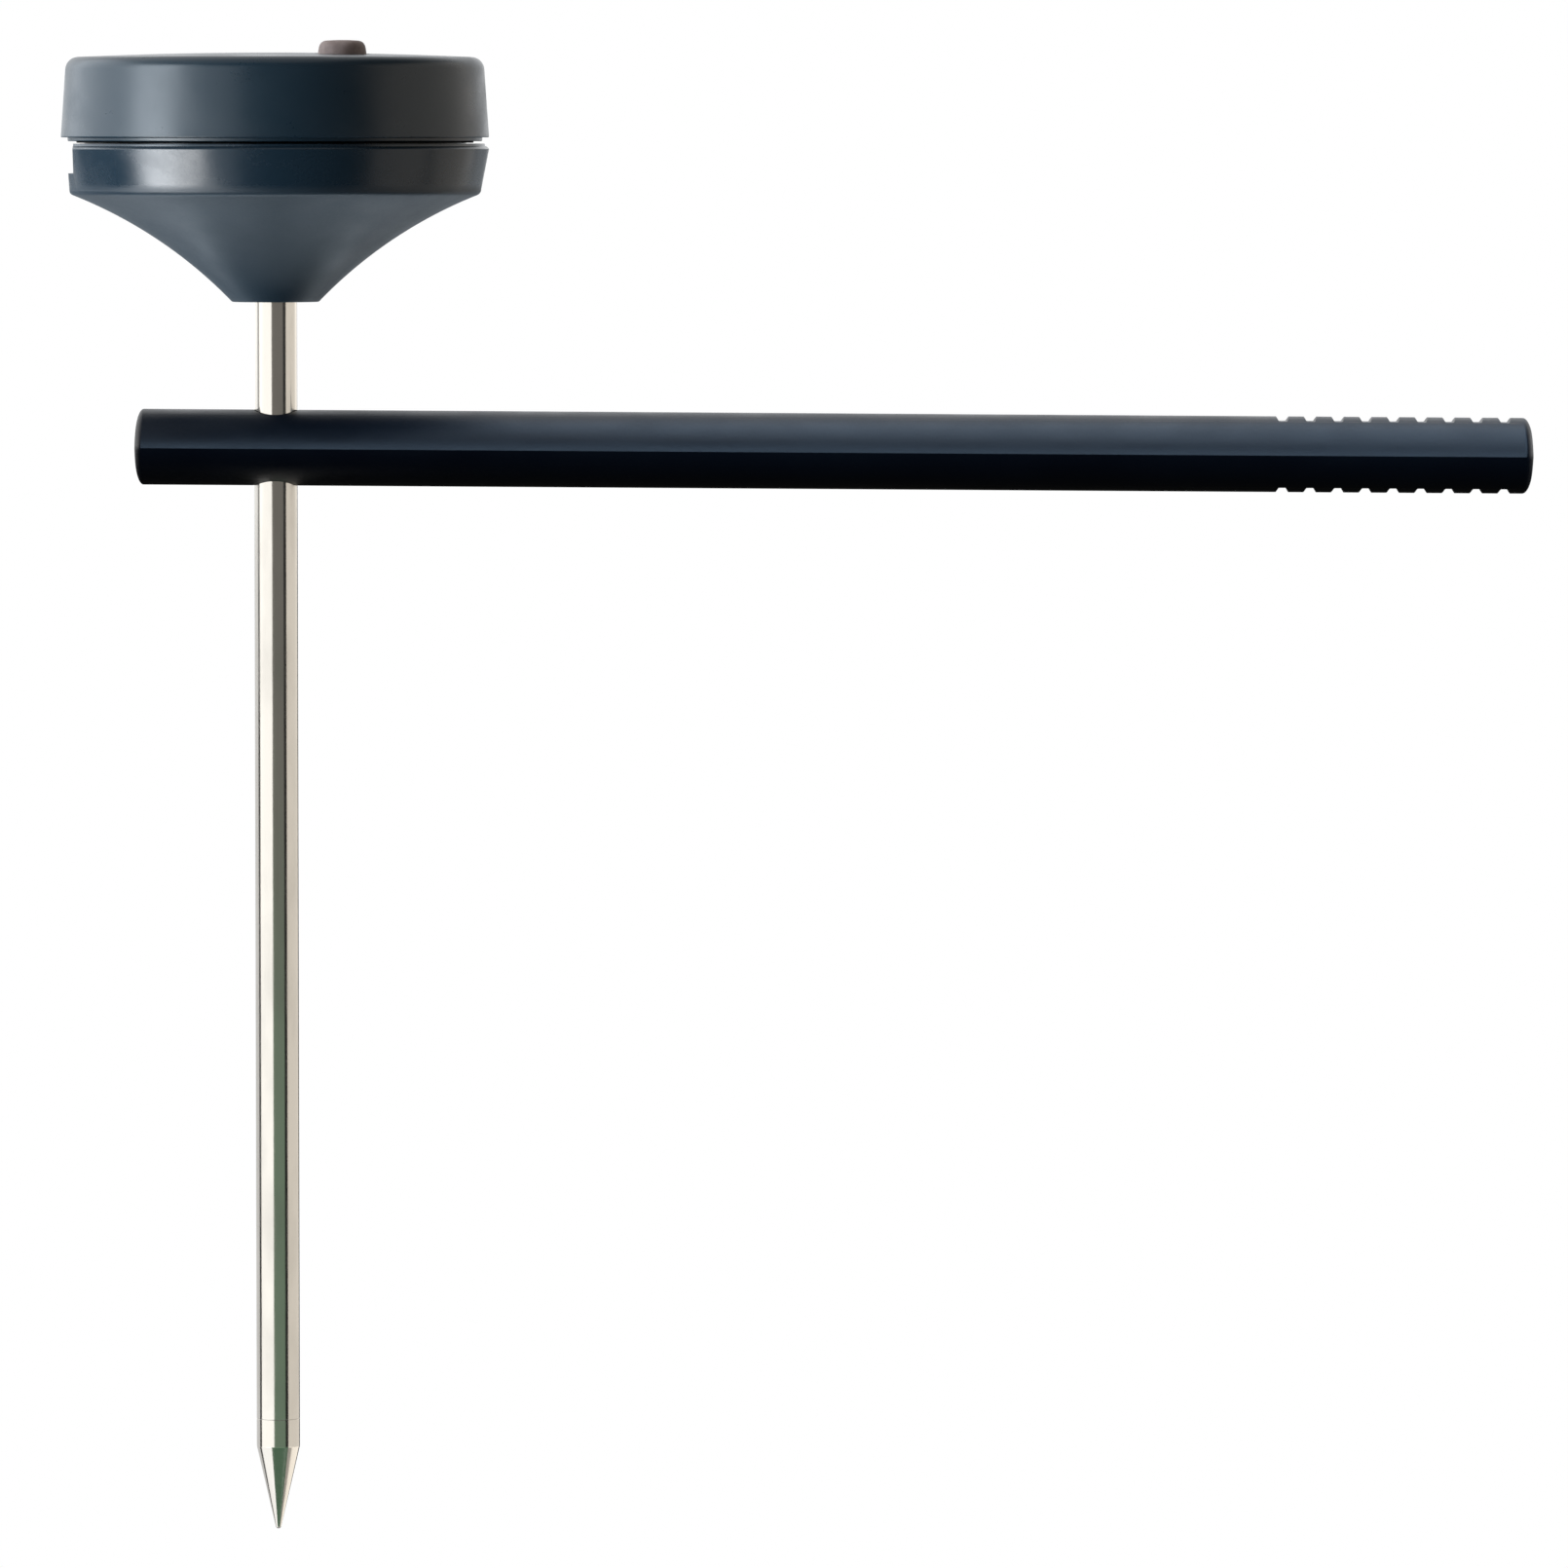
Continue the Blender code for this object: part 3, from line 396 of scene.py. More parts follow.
class Surface:
    """A procedural material. Its detail is placed by the row frame, and its sizes are millimetres."""

    def __init__(self, name, **sockets):
        self.material = bpy.data.materials.new(name)
        self.material.use_nodes = True
        self.tree = self.material.node_tree
        self.shader = self.tree.nodes["Principled BSDF"]
        self.place = self.node("TexCoord").outputs["Object"]
        self.set(**sockets)

    def feed(self, socket, value):
        if isinstance(value, bpy.types.NodeSocket):
            self.tree.links.new(value, socket)
        elif hasattr(value, "__len__") and len(value) == 3 and socket.type == "RGBA":
            socket.default_value = (*value, 1.0)
        else:
            socket.default_value = value

    def node(self, kind, inputs=(), **settings):
        made = self.tree.nodes.new("ShaderNode" + kind)
        for name, value in settings.items():
            setattr(made, name, value)
        for name, value in dict(inputs).items():
            self.feed(made.inputs[name], value)
        return made

    def set(self, **sockets):
        """Sets or links the shader's sockets, such as base_color or specular_ior_level."""
        for name, value in sockets.items():
            words = name.replace("ior", "IOR").split("_")
            title = " ".join(word if word == "IOR" else word.capitalize() for word in words)
            self.feed(self.shader.inputs[title], value)
        return self

    def stretched(self, size, stretch=(1, 1, 1), shift=0.0):
        """Coordinates in which size millimetres is one unit, longer along an axis by its stretch."""
        scale = [1 / (size * s * MM) for s in stretch]
        inputs = {"Vector": self.place, "Scale": scale, "Location": (shift, shift, shift)}
        return self.node("Mapping", inputs).outputs["Vector"]

    def noise(self, size, stretch=(1, 1, 1), detail=2.0, shift=0.0):
        inputs = {"Vector": self.stretched(size, stretch, shift), "Scale": 1.0, "Detail": detail}
        return self.node("TexNoise", inputs).outputs["Fac"]

    def spread(self, value, low, high, to_low, to_high):
        inputs = {"Value": value, "From Min": low, "From Max": high, "To Min": to_low, "To Max": to_high}
        return self.node("MapRange", inputs).outputs["Result"]

    def maths(self, operation, first, second=0.0):
        made = self.node("Math", operation=operation)
        self.feed(made.inputs[0], first)
        self.feed(made.inputs[1], second)
        return made.outputs[0]

    def along(self, axis):
        """A coordinate of the row frame in millimetres."""
        split = self.node("SeparateXYZ", {"Vector": self.place})
        return self.maths("MULTIPLY", split.outputs[axis], 1 / MM)

    def mix(self, share, first, second):
        made = self.node("Mix", data_type="RGBA")
        for index, value in ((0, share), (6, first), (7, second)):
            self.feed(made.inputs[index], value)
        return made.outputs[2]

    def bump(self, height, depth):
        """Raises the surface by up to depth millimetres where height is 1, over any earlier bump."""
        inputs = {"Height": height, "Distance": depth * MM, "Strength": 1.0}
        earlier = self.shader.inputs["Normal"]
        if earlier.is_linked:
            inputs["Normal"] = earlier.links[0].from_socket
        self.feed(earlier, self.node("Bump", inputs).outputs["Normal"])
        return self

    def for_rays(self, rays, kind):
        """Gives one kind of ray another shader than the rest."""
        both = self.node("MixShader")
        self.feed(both.inputs[0], self.node("LightPath").outputs[rays])
        self.feed(both.inputs[1], self.shader.outputs[0])
        self.feed(both.inputs[2], self.node(kind).outputs[0])
        self.feed(self.tree.nodes["Material Output"].inputs["Surface"], both.outputs[0])
        return self


def moulded_plastic(name, deep, pale, roughness, grain_depth=0.0025, matte_below=None):
    """ABS from a spark-eroded mould: a slow drift of tone and fine grain, matte below a height."""
    surface = Surface(name, specular_ior_level=0.5)
    tone = surface.noise(14, detail=1)
    grain = surface.noise(0.28, detail=3)
    handled = surface.noise(5, stretch=(1, 1, 0.6), detail=4, shift=3)
    colour = surface.mix(surface.spread(tone, 0.3, 0.7, 0, 1), deep, pale)
    shine = surface.spread(handled, 0.35, 0.75, roughness - 0.05, roughness + 0.05)
    shine = surface.maths("ADD", shine, surface.spread(grain, 0.3, 0.7, -0.02, 0.02))
    if matte_below:
        matte = surface.spread(surface.along("Z"), matte_below, matte_below + 0.5, 0.2, 0)
        shine = surface.maths("ADD", shine, matte)
    surface.set(base_color=colour, roughness=shine)
    return surface.bump(grain, grain_depth)


def rubber(name, deep, pale, roughness=0.62):
    """Moulded rubber with a fine tooth and a bloom of dust in its hollows."""
    surface = Surface(name, specular_ior_level=0.35)
    tooth = surface.noise(0.16, detail=4)
    bloom = surface.noise(1.4, detail=4, shift=2)
    colour = surface.mix(surface.spread(bloom, 0.35, 0.7, 0, 1), deep, pale)
    colour = surface.mix(surface.spread(tooth, 0.55, 0.8, 0, 0.25), colour, pale)
    shine = surface.spread(bloom, 0.3, 0.7, roughness - 0.06, roughness + 0.08)
    surface.set(base_color=colour, roughness=shine)
    return surface.bump(tooth, 0.02)


def drawn_steel(name, colour, roughness, line_stretch=(1, 1, 70)):
    """Bright steel with fine lines along its length and faint stains."""
    surface = Surface(name, metallic=1.0)
    lines = surface.noise(0.09, stretch=line_stretch, detail=3)
    stains = surface.noise(3.5, stretch=(1, 1, 2.5), detail=4, shift=7)
    darker = [part * 0.86 for part in colour]
    tint = surface.mix(surface.spread(stains, 0.45, 0.75, 0, 1), colour, darker)
    shine = surface.spread(lines, 0.3, 0.7, roughness - 0.03, roughness + 0.05)
    shine = surface.maths("ADD", shine, surface.spread(stains, 0.5, 0.8, 0, 0.06))
    surface.set(base_color=tint, roughness=shine)
    return surface.bump(lines, 0.00015)


def clear_acrylic():
    """Clear window plastic that lets lamps through to the display."""
    surface = Surface("clear_acrylic", base_color=(0.97, 0.985, 0.98), transmission_weight=1.0, ior=1.49)
    wipes = surface.noise(2.5, stretch=(3, 1, 1), detail=4)
    surface.set(roughness=surface.spread(wipes, 0.4, 0.8, 0.02, 0.06))
    return surface.for_rays("Is Shadow Ray", "BsdfTransparent").material


def display_glass():
    """Grey-green polariser with a faint weave and a little unevenness."""
    surface = Surface("display_glass", specular_ior_level=0.5)
    cloud = surface.noise(7, detail=2)
    weave = surface.noise(0.12, stretch=(12, 1, 1), detail=1)
    colour = surface.mix(surface.spread(cloud, 0.3, 0.7, 0, 1), (0.30, 0.35, 0.28), (0.36, 0.41, 0.34))
    colour = surface.mix(surface.spread(weave, 0.3, 0.7, 0, 0.2), colour, (0.25, 0.29, 0.24))
    surface.set(base_color=colour, roughness=surface.spread(cloud, 0.3, 0.7, 0.12, 0.2))
    return surface.material


def solder_mask():
    """Green solder mask over copper tracks, which show lighter and stand slightly proud."""
    surface = Surface("solder_mask", specular_ior_level=0.5)
    inputs = {"Vector": surface.stretched(3.2), "Scale": 1.0}
    cells = surface.node("TexVoronoi", inputs, distance="MANHATTAN")
    rings = surface.maths("FRACT", surface.maths("MULTIPLY", cells.outputs["Distance"], 5.0))
    tracks = surface.spread(rings, 0.62, 0.68, 0, 1)
    grain = surface.noise(0.2, detail=3)
    colour = surface.mix(tracks, (0.008, 0.070, 0.030), (0.022, 0.150, 0.060))
    colour = surface.mix(surface.spread(grain, 0.4, 0.8, 0, 0.2), colour, (0.01, 0.05, 0.03))
    surface.set(base_color=colour, roughness=surface.spread(grain, 0.3, 0.7, 0.28, 0.4))
    surface.bump(tracks, 0.03)
    return surface.bump(grain, 0.003).material


def zebra_rubber():
    """Silicone with its conductive layers as fine dark stripes."""
    surface = Surface("zebra_rubber")
    bands = surface.maths("FRACT", surface.maths("MULTIPLY", surface.along("X"), 4.0))
    tooth = surface.noise(0.2, detail=3)
    colour = surface.mix(surface.spread(bands, 0.48, 0.52, 0, 1), (0.02, 0.02, 0.022), (0.45, 0.44, 0.42))
    surface.set(base_color=colour, roughness=surface.spread(tooth, 0.3, 0.7, 0.5, 0.7))
    return surface.bump(tooth, 0.01).material


# Head


CORNER_CENTRE = (HEAD_R - DRUM_DRAFT - CORNER_R, CORNER_Z)
CORNER = fillet(CORNER_CENTRE, CORNER_R, -CORNER_TURN, 0, 10)
FUNNEL_OUTSIDE = Arc((NECK_R, NECK_Z), CORNER[0], FUNNEL_SAG)
FUNNEL_INSIDE = Arc(
    (COLLAR_SEAT_R, COLLAR_Z + GAP),
    (CAVITY_R, FUNNEL_OUTSIDE.height_at(CAVITY_R) + FLOOR_WALL),
    FUNNEL_SAG / 2,
)


def screw_places():
    screws = [box_mm(f"board_screw_{index}") for index in (1, 2, 3)]
    return [tuple(((low + high) / 2).xy) for low, high in screws]


def post_shape(place):
    """A screw post whose foot follows the middle of the funnel's wall."""
    outline = [(0, NECK_Z), (POST_R, NECK_Z), (POST_R, POST_TOP, 0.2), (0, POST_TOP)]
    shape = turned(soften(outline), at=place)
    for vert in shape.verts:
        if vert.co.z < NECK_Z + GAP:
            out = hypot(vert.co.x, vert.co.y)
            vert.co.z = (FUNNEL_OUTSIDE.height_at(out) + FUNNEL_INSIDE.height_at(out)) / 2
    return shape


def make_lower_shell(plastic):
    mouth = [(STEM_BORE_R, NECK_Z, 0.12), (NECK_R, NECK_Z, 0.25)]
    outside = FUNNEL_OUTSIDE.points(FUNNEL_STEPS)[1:] + CORNER[1:]
    ledge = [
        (HEAD_R, LEDGE_Z - LEDGE_CHAMFER, 0.08),
        (HEAD_R - LEDGE_CHAMFER, LEDGE_Z, 0.08),
        (BEAD_R, LEDGE_Z),
        (BEAD_R, LEDGE_Z + BEAD_HEIGHT, 0.08),
        (BEAD_R - BEAD_WIDTH, LEDGE_Z + BEAD_HEIGHT, 0.08),
        (BEAD_R - BEAD_WIDTH, LEDGE_Z),
        (RIM_R, LEDGE_Z, 0.2),
    ]
    rim = [(RIM_R, RIM_Z, 0.25), (CAVITY_R, RIM_Z, 0.2)]
    inside = FUNNEL_INSIDE.points(12)[::-1] + [(COLLAR_SEAT_R, COLLAR_Z)]
    neck = [(SEAL_POCKET_R, COLLAR_Z, 0.1), (SEAL_POCKET_R, SEAL_POCKET_Z), (STEM_BORE_R, SEAL_POCKET_Z)]
    outline = soften(mouth + outside + ledge + rim + inside + neck)
    shell = new_object("lower_shell_skin", turned(outline, HEAD_FACETS))
    combine(shell, [post_shape(place) for place in screw_places()], "UNION")
    hole = disc(POST_HOLE_R, POST_TOP - POST_HOLE_DEPTH, POST_TOP + REACH)
    flat = rectangle(2 * REACH, 2 * HEAD_R, (THUMB_FLAT_X - REACH, 0))
    apron = rectangle(2 * REACH, 2 * HEAD_R, (THUMB_APRON_X - REACH, 0))
    slot = rectangle(2 * THUMB_SLOT.x, THUMB_SLOT.y, (THUMB_FLAT_X, 0), 0.25)
    cutters = [turned(hole, at=place) for place in screw_places()]
    cutters.append(extruded(flat, LEDGE_Z - THUMB_FLAT_HEIGHT, LEDGE_Z + BEAD_HEIGHT + REACH / 2))
    cutters.append(extruded(apron, CORNER_Z - 2 * REACH, LEDGE_Z + REACH))
    cutters.append(extruded(slot, LEDGE_Z - THUMB_SLOT.z, LEDGE_Z + PARTING_GROOVE))
    combine(shell, cutters)
    bevel_edges(shell, 0.07)
    place_piece(shell, body_of("lower_shell"), plastic, ["lower_shell"])


def crown_height(radius):
    return CROWN_Z - CROWN * (radius / (HEAD_R - COVER_DRAFT - COVER_EDGE_R)) ** 2


def make_cover(plastic):
    edge_r = HEAD_R - COVER_DRAFT - COVER_EDGE_R
    radii = [edge_r * i / CROWN_STEPS for i in range(CROWN_STEPS + 1)]
    crown = [(radius, crown_height(radius)) for radius in radii]
    lean = atan2(2 * CROWN, edge_r) / (pi / 2)
    draft = atan2(COVER_DRAFT, CROWN_Z - COVER_RIM_Z) / (pi / 2)
    edge = fillet((edge_r, crown_height(edge_r) - COVER_EDGE_R), COVER_EDGE_R, 1 - lean, draft, 14)
    foot = [(HEAD_R, COVER_RIM_Z, 0.12), (LIP_R, COVER_RIM_Z, 0.08)]
    lip_inner_r = LIP_R - LIP_WALL
    lip = [(LIP_R, COVER_LOW.z, 0.12), (lip_inner_r, COVER_LOW.z, 0.12), (lip_inner_r, SEAT_Z)]
    roof = [(RIM_R + GAP, SEAT_Z, 0.12), (RIM_R + GAP, ROOF_Z, 0.4), (0, ROOF_Z)]
    cover = new_object("cover_skin", turned(soften(crown + edge + foot + lip + roof), HEAD_FACETS))
    middle = ((WINDOW_LOW + WINDOW_HIGH) / 2).xy
    wide, deep = (WINDOW_HIGH - WINDOW_LOW).xy
    pocket = rectangle(wide + 2 * WINDOW_SLACK, deep + 2 * WINDOW_SLACK, middle, WINDOW_CORNER)
    opening = rectangle(wide - 2 * WINDOW_LEDGE, deep - 2 * WINDOW_LEDGE, middle, WINDOW_CORNER / 2)
    button = ((BUTTON_LOW + BUTTON_HIGH) / 2).xy
    cutters = [
        extruded(pocket, WINDOW_POCKET_Z, CROWN_Z + REACH),
        extruded(opening, ROOF_Z - REACH, CROWN_Z + REACH),
        turned(disc(BUTTON_R + GAP, ROOF_Z - REACH, CROWN_Z + REACH), ROUND_FACETS, button),
    ]
    combine(cover, cutters)
    bevel_edges(cover, 0.12)
    place_piece(cover, body_of("upper_shell"), plastic, ["upper_shell"])


def make_button(material):
    middle = ((BUTTON_LOW + BUTTON_HIGH) / 2).xy
    flange_r = (BUTTON_HIGH.x - BUTTON_LOW.x) / 2
    top, flange_z, foot_r = BUTTON_HIGH.z, ROOF_Z - GAP, 1.6
    outline = [(0, top), (BUTTON_R * 0.3, top - 0.01), (BUTTON_R - 0.2, top - 0.08, 1.2)]
    outline += [(BUTTON_R, CROWN_Z - 0.3), (BUTTON_R, flange_z, 0.1)]
    flange_low = flange_z - BUTTON_FLANGE
    outline += [(flange_r, flange_z, 0.15), (flange_r, flange_low, 0.15), (foot_r, flange_low, 0.1)]
    outline += [(foot_r, BUTTON_LOW.z, 0.2), (0, BUTTON_LOW.z)]
    button = new_object("rubber_button", turned(soften(outline, 8), ROUND_FACETS, middle))
    place_piece(button, body_of("power_button"), material, ["power_button"])


def make_window():
    """The clear window and the dark border printed under its edge."""
    middle = ((WINDOW_LOW + WINDOW_HIGH) / 2).xy
    wide, deep = (WINDOW_HIGH - WINDOW_LOW).xy
    shape = extruded(rectangle(wide, deep, middle, WINDOW_CORNER), WINDOW_LOW.z, WINDOW_HIGH.z)
    window = new_object("window_glass", shape)
    bevel_edges(window, 0.12)
    place_piece(window, body_of("display_window"), clear_acrylic(), ["display_window"])
    top = WINDOW_LOW.z - 0.02
    border = rectangle(wide - 2 * BORDER_INSET, deep - 2 * BORDER_INSET, middle, WINDOW_CORNER)
    inner = rectangle(wide - 2 * BORDER_WIDTH, deep - 2 * BORDER_WIDTH, middle, WINDOW_CORNER / 2)
    ring = new_object("window_border", extruded(border, top - BORDER_THICKNESS, top))
    combine(ring, [extruded(inner, top - REACH, top + REACH)])
    ink = rubber("border_ink", (0.006, 0.007, 0.008), (0.014, 0.015, 0.017), 0.35)
    place_piece(ring, body_of("display_window"), ink.material)


def make_seal(material):
    """The gasket round the rim, with a rounded bead along its top."""
    inner, outer = RIM_R + GAP, SEAL_HIGH.x
    low, high = SEAL_LOW.z, SEAL_HIGH.z
    outline = [(inner, low, 0.1), (outer, low, 0.1), (outer, high, 0.19), (inner, high, 0.19)]
    seal = new_object("seal_gasket", turned(soften(outline), HEAD_FACETS))
    place_piece(seal, body_of("seal_ring"), material, ["seal_ring"])


# Inside the head


def refined(node, material, width=0.06, angle=30):
    """A copy of a CAD node with its edges rounded, which stands for it."""
    shape = bmesh.new()
    shape.from_mesh(frame["nodes"][node].data)
    shape.transform(Matrix.Scale(1 / MM, 4))
    bmesh.ops.remove_doubles(shape, verts=shape.verts, dist=SAME_POINT)
    bmesh.ops.dissolve_limit(shape, angle_limit=radians(1), verts=shape.verts, edges=shape.edges)
    piece = new_object(node + "_piece", shape)
    bevel_edges(piece, width, angle, 2)
    return place_piece(piece, body_of(node), material, [node])


def flat_piece(name, outlines, low, thickness, body, material):
    """One piece made of separate flat outlines at one height."""
    shape = bmesh.new()
    for outline in outlines:
        extrude(shape, outline, low, low + thickness)
    return place_piece(new_object(name, shape), body, material)


def segment_bars(x, y, lit):
    """The lit bars of one seven-segment figure, as outlines round its middle."""
    half_w, half_h, bar = DIGIT_WIDTH / 2, DIGIT_HEIGHT / 2, DIGIT_BAR / 2
    across = half_w - bar * 1.3
    upright = half_h / 2 - bar * 1.3
    places = {
        "a": (0, half_h, True),
        "g": (0, 0, True),
        "d": (0, -half_h, True),
        "f": (-half_w, half_h / 2, False),
        "b": (half_w, half_h / 2, False),
        "e": (-half_w, -half_h / 2, False),
        "c": (half_w, -half_h / 2, False),
    }
    outlines = []
    for name in lit:
        px, py, flat = places[name]
        reach = across if flat else upright
        hexagon = [(reach + bar, 0), (reach, bar), (-reach, bar)]
        hexagon += [(-u, -v) for u, v in hexagon]
        if not flat:
            hexagon = [(-v, u) for u, v in hexagon]
        outlines.append([(x + px + u + DIGIT_LEAN * (py + v), y + py + v) for u, v in hexagon])
    return outlines


def ring_bar(x, y, radius, first, last, width, steps=14):
    """Part of a ring, as an outline, from one angle to another in quarter turns."""
    outer = fillet((x, y), radius, first, last, steps)
    return outer + fillet((x, y), radius - width, last, first, steps)


def split_ring(at, radius, width):
    """A ring as two outlines, one for each half, with a hair between them."""
    return [ring_bar(*at, radius, half, half + 1.98, width) for half in (0, 2)]


def dot(at, radius, steps):
    return fillet(at, radius, 0, FULL_CIRCLE, steps)[:-1]


def make_reading():
    """A plain reading in degrees on the display's glass: 21.4 and the sign for Celsius."""
    x, y = ((PANEL_LOW + PANEL_HIGH) / 2).xy
    outlines = []
    for place, lit in DIGITS:
        outlines += segment_bars(x + place, y, lit)
    outlines.append(dot((x + POINT_X, y - DIGIT_HEIGHT / 2), 0.3, 16))
    sign_y = y + DIGIT_HEIGHT / 2
    outlines += split_ring((x + DEGREE_X, sign_y - 0.35), 0.55, 0.22)
    outlines.append(ring_bar(x + CELSIUS_X, sign_y - 0.95, 1.15, 0.55, 3.45, 0.38, 24))
    ink = rubber("display_ink", (0.012, 0.014, 0.016), (0.02, 0.023, 0.026), 0.3)
    low = PANEL_HIGH.z + HAIRLINE
    flat_piece("lcd_reading", outlines, low, INK_THICKNESS, "head", ink.material)


def make_board_marks():
    """Tinned pads, white outlines and small chips on the board's upper face."""
    top = BOARD_HIGH.z + HAIRLINE / 2
    tin = drawn_steel("tinned_pads", (0.72, 0.70, 0.66), 0.28, (1, 1, 1))
    white = moulded_plastic("white_print", (0.62, 0.62, 0.58), (0.75, 0.75, 0.71), 0.6)
    pads, marks = [], []
    for place in screw_places():
        pads += split_ring(place, 1.9, 0.75)
    cell = ((CELL_LOW + CELL_HIGH) / 2).xy
    switch = ((SWITCH_LOW + SWITCH_HIGH) / 2).xy
    reach = (SWITCH_HIGH.x - SWITCH_LOW.x) / 2
    for start in range(FULL_CIRCLE):
        marks.append(ring_bar(*cell, 6.35, start + 0.06, start + 0.94, 0.16))
    for sx, sy in QUADRANTS:
        pads.append(rectangle(1.1, 0.9, (switch.x + sx * (reach + 0.35), switch.y + sy * 2.2)))
        marks.append(rectangle(1.2, 0.15, (switch.x + sx * 1.6, switch.y + sy * (reach + 0.45))))
    for index in range(TEST_PADS):
        angle = radians(TEST_PAD_START + index * TEST_PAD_PITCH)
        pads.append(dot((TEST_PAD_CIRCLE * cos(angle), TEST_PAD_CIRCLE * sin(angle)), 0.28, 12))
    ends, bodies = [], []
    for x, y, upright in CHIPS:
        order = -1 if upright else 1
        bodies.append(rectangle(*(1.12, 0.8)[::order], (x, y)))
        size = (0.24, 0.8)[::order]
        for side in (-1, 1):
            off = (side * 0.68, 0)[::order]
            ends.append(rectangle(*size, (x + off[0], y + off[1])))
            pad_at = (x + off[0] * 1.3, y + off[1] * 1.3)
            pads.append(rectangle(size[0] + 0.5, size[1] + 0.3, pad_at))
    black = moulded_plastic("chip_resin", (0.010, 0.010, 0.011), (0.018, 0.018, 0.019), 0.45)
    chip_low = top + 0.05
    flat_piece("board_pads", pads, top, PAD_THICKNESS, "head", tin.material)
    flat_piece("board_print", marks, top, 0.02, "head", white.material)
    flat_piece("chip_bodies", bodies, chip_low, CHIP_HEIGHT, "head", black.material)
    flat_piece("chip_ends", ends, chip_low, CHIP_HEIGHT + 0.02, "head", tin.material)


def make_switch_plate(material):
    """The steel plate over the switch, with its four rivets."""
    middle = ((SWITCH_LOW + SWITCH_HIGH) / 2).xy
    wide, deep = (SWITCH_HIGH - SWITCH_LOW).xy
    top = SWITCH_HIGH.z + HAIRLINE
    outline = rectangle(wide - 0.3, deep - 0.3, middle, 0.35)
    plate = new_object("switch_plate", extruded(outline, top, top + 0.2))
    combine(plate, [turned(disc(2.05, top - REACH, top + REACH), ROUND_FACETS, middle)])
    rivet_r, low, high = 0.35, top + 0.1, top + 0.35
    rivet = soften([(0, low), (rivet_r, low), (rivet_r, high, 0.2), (0, high)])
    places = [(middle.x + sx * 2.2, middle.y + sy * 2.2) for sx, sy in QUADRANTS]
    combine(plate, [turned(rivet, 24, place) for place in places], "UNION")
    bevel_edges(plate, 0.03, segments=2)
    place_piece(plate, "head", material)


def make_cell_mark(material):
    """The plain plus sign on the cell's upper face."""
    x, y = ((CELL_LOW + CELL_HIGH) / 2).xy
    low = CELL_HIGH.z + HAIRLINE / 2
    bars = [rectangle(*size, (x - 3.6, y)) for size in ((1.6, 0.3), (0.3, 1.6))]
    along, across = [extruded(bar, low, low + INK_THICKNESS) for bar in bars]
    mark = new_object("cell_mark", along)
    combine(mark, [across], "UNION")
    place_piece(mark, "head", material)


def make_inside(black_rubber):
    mask = solder_mask()
    white = moulded_plastic("white_abs", (0.60, 0.60, 0.57), (0.70, 0.70, 0.67), 0.45)
    black = moulded_plastic("black_abs", (0.010, 0.010, 0.011), (0.016, 0.016, 0.018), 0.45)
    nickel = drawn_steel("nickel", (0.68, 0.65, 0.58), 0.24, (40, 1, 1))
    zinc = drawn_steel("zinc_screws", (0.62, 0.62, 0.60), 0.30, (1, 1, 1))
    bright = drawn_steel("cell_steel", (0.70, 0.69, 0.67), 0.22, (1, 30, 1))
    brass = drawn_steel("turned_brass", (0.72, 0.52, 0.22), 0.28, (30, 30, 1))
    silicone = rubber("grey_silicone", (0.13, 0.14, 0.15), (0.22, 0.23, 0.24), 0.55)
    resin = rubber("dark_resin", (0.012, 0.010, 0.009), (0.03, 0.026, 0.022), 0.3)
    clay = rubber("brown_ceramic", (0.30, 0.20, 0.12), (0.42, 0.30, 0.20), 0.5)
    red = rubber("red_insulation", (0.36, 0.015, 0.015), (0.5, 0.03, 0.03), 0.45)
    refined("circuit_board", mask, 0.05)
    refined("lcd_frame", white.material, 0.12)
    refined("lcd_panel", display_glass(), 0.06)
    refined("battery_cell", bright.material, 0.1)
    refined("battery_clip", nickel.material, 0.05)
    refined("battery_contact", nickel.material, 0.05)
    refined("switch_body", black.material, 0.1)
    refined("switch_plunger", white.material, 0.12)
    for index in (1, 2, 3):
        refined(f"board_screw_{index}", zinc.material, 0.06)
    for name in ("zebra_strip_front", "zebra_strip_rear"):
        refined(name, zebra_rubber(), 0.08)
    refined("grip_ring", silicone.material, 0.12)
    refined("controller_chip", resin.material, 0.06)
    refined("timing_crystal", bright.material, 0.1)
    refined("chip_capacitor", clay.material, 0.06)
    refined("stem_collar", brass.material, 0.1)
    refined("epoxy_fill", resin.material, 0.15)
    refined("bead_sleeve", black_rubber, 0.06)
    refined("thermistor_bead", resin.material, 0.02, 60)
    refined("sensor_lead_a", red.material, 0.03, 60)
    refined("sensor_lead_b", black_rubber, 0.03, 60)
    refined("neck_seal", black_rubber, 0.02, 60)
    make_reading()
    make_board_marks()
    make_switch_plate(nickel.material)
    make_cell_mark(nickel.material)


# Probe


def make_stem(steel):
    inner_r = STEM_R - TUBE_WALL
    low, high = TIP_JOINT_Z + HAIRLINE, TUBE_HIGH.z
    outline = [(inner_r, low), (STEM_R, low, 0.03), (STEM_R, high, 0.1), (inner_r, high)]
    stem = new_object("stem_tube_skin", turned(soften(outline), ROUND_FACETS))
    place_piece(stem, body_of("stem_tube"), steel, ["stem_tube"])


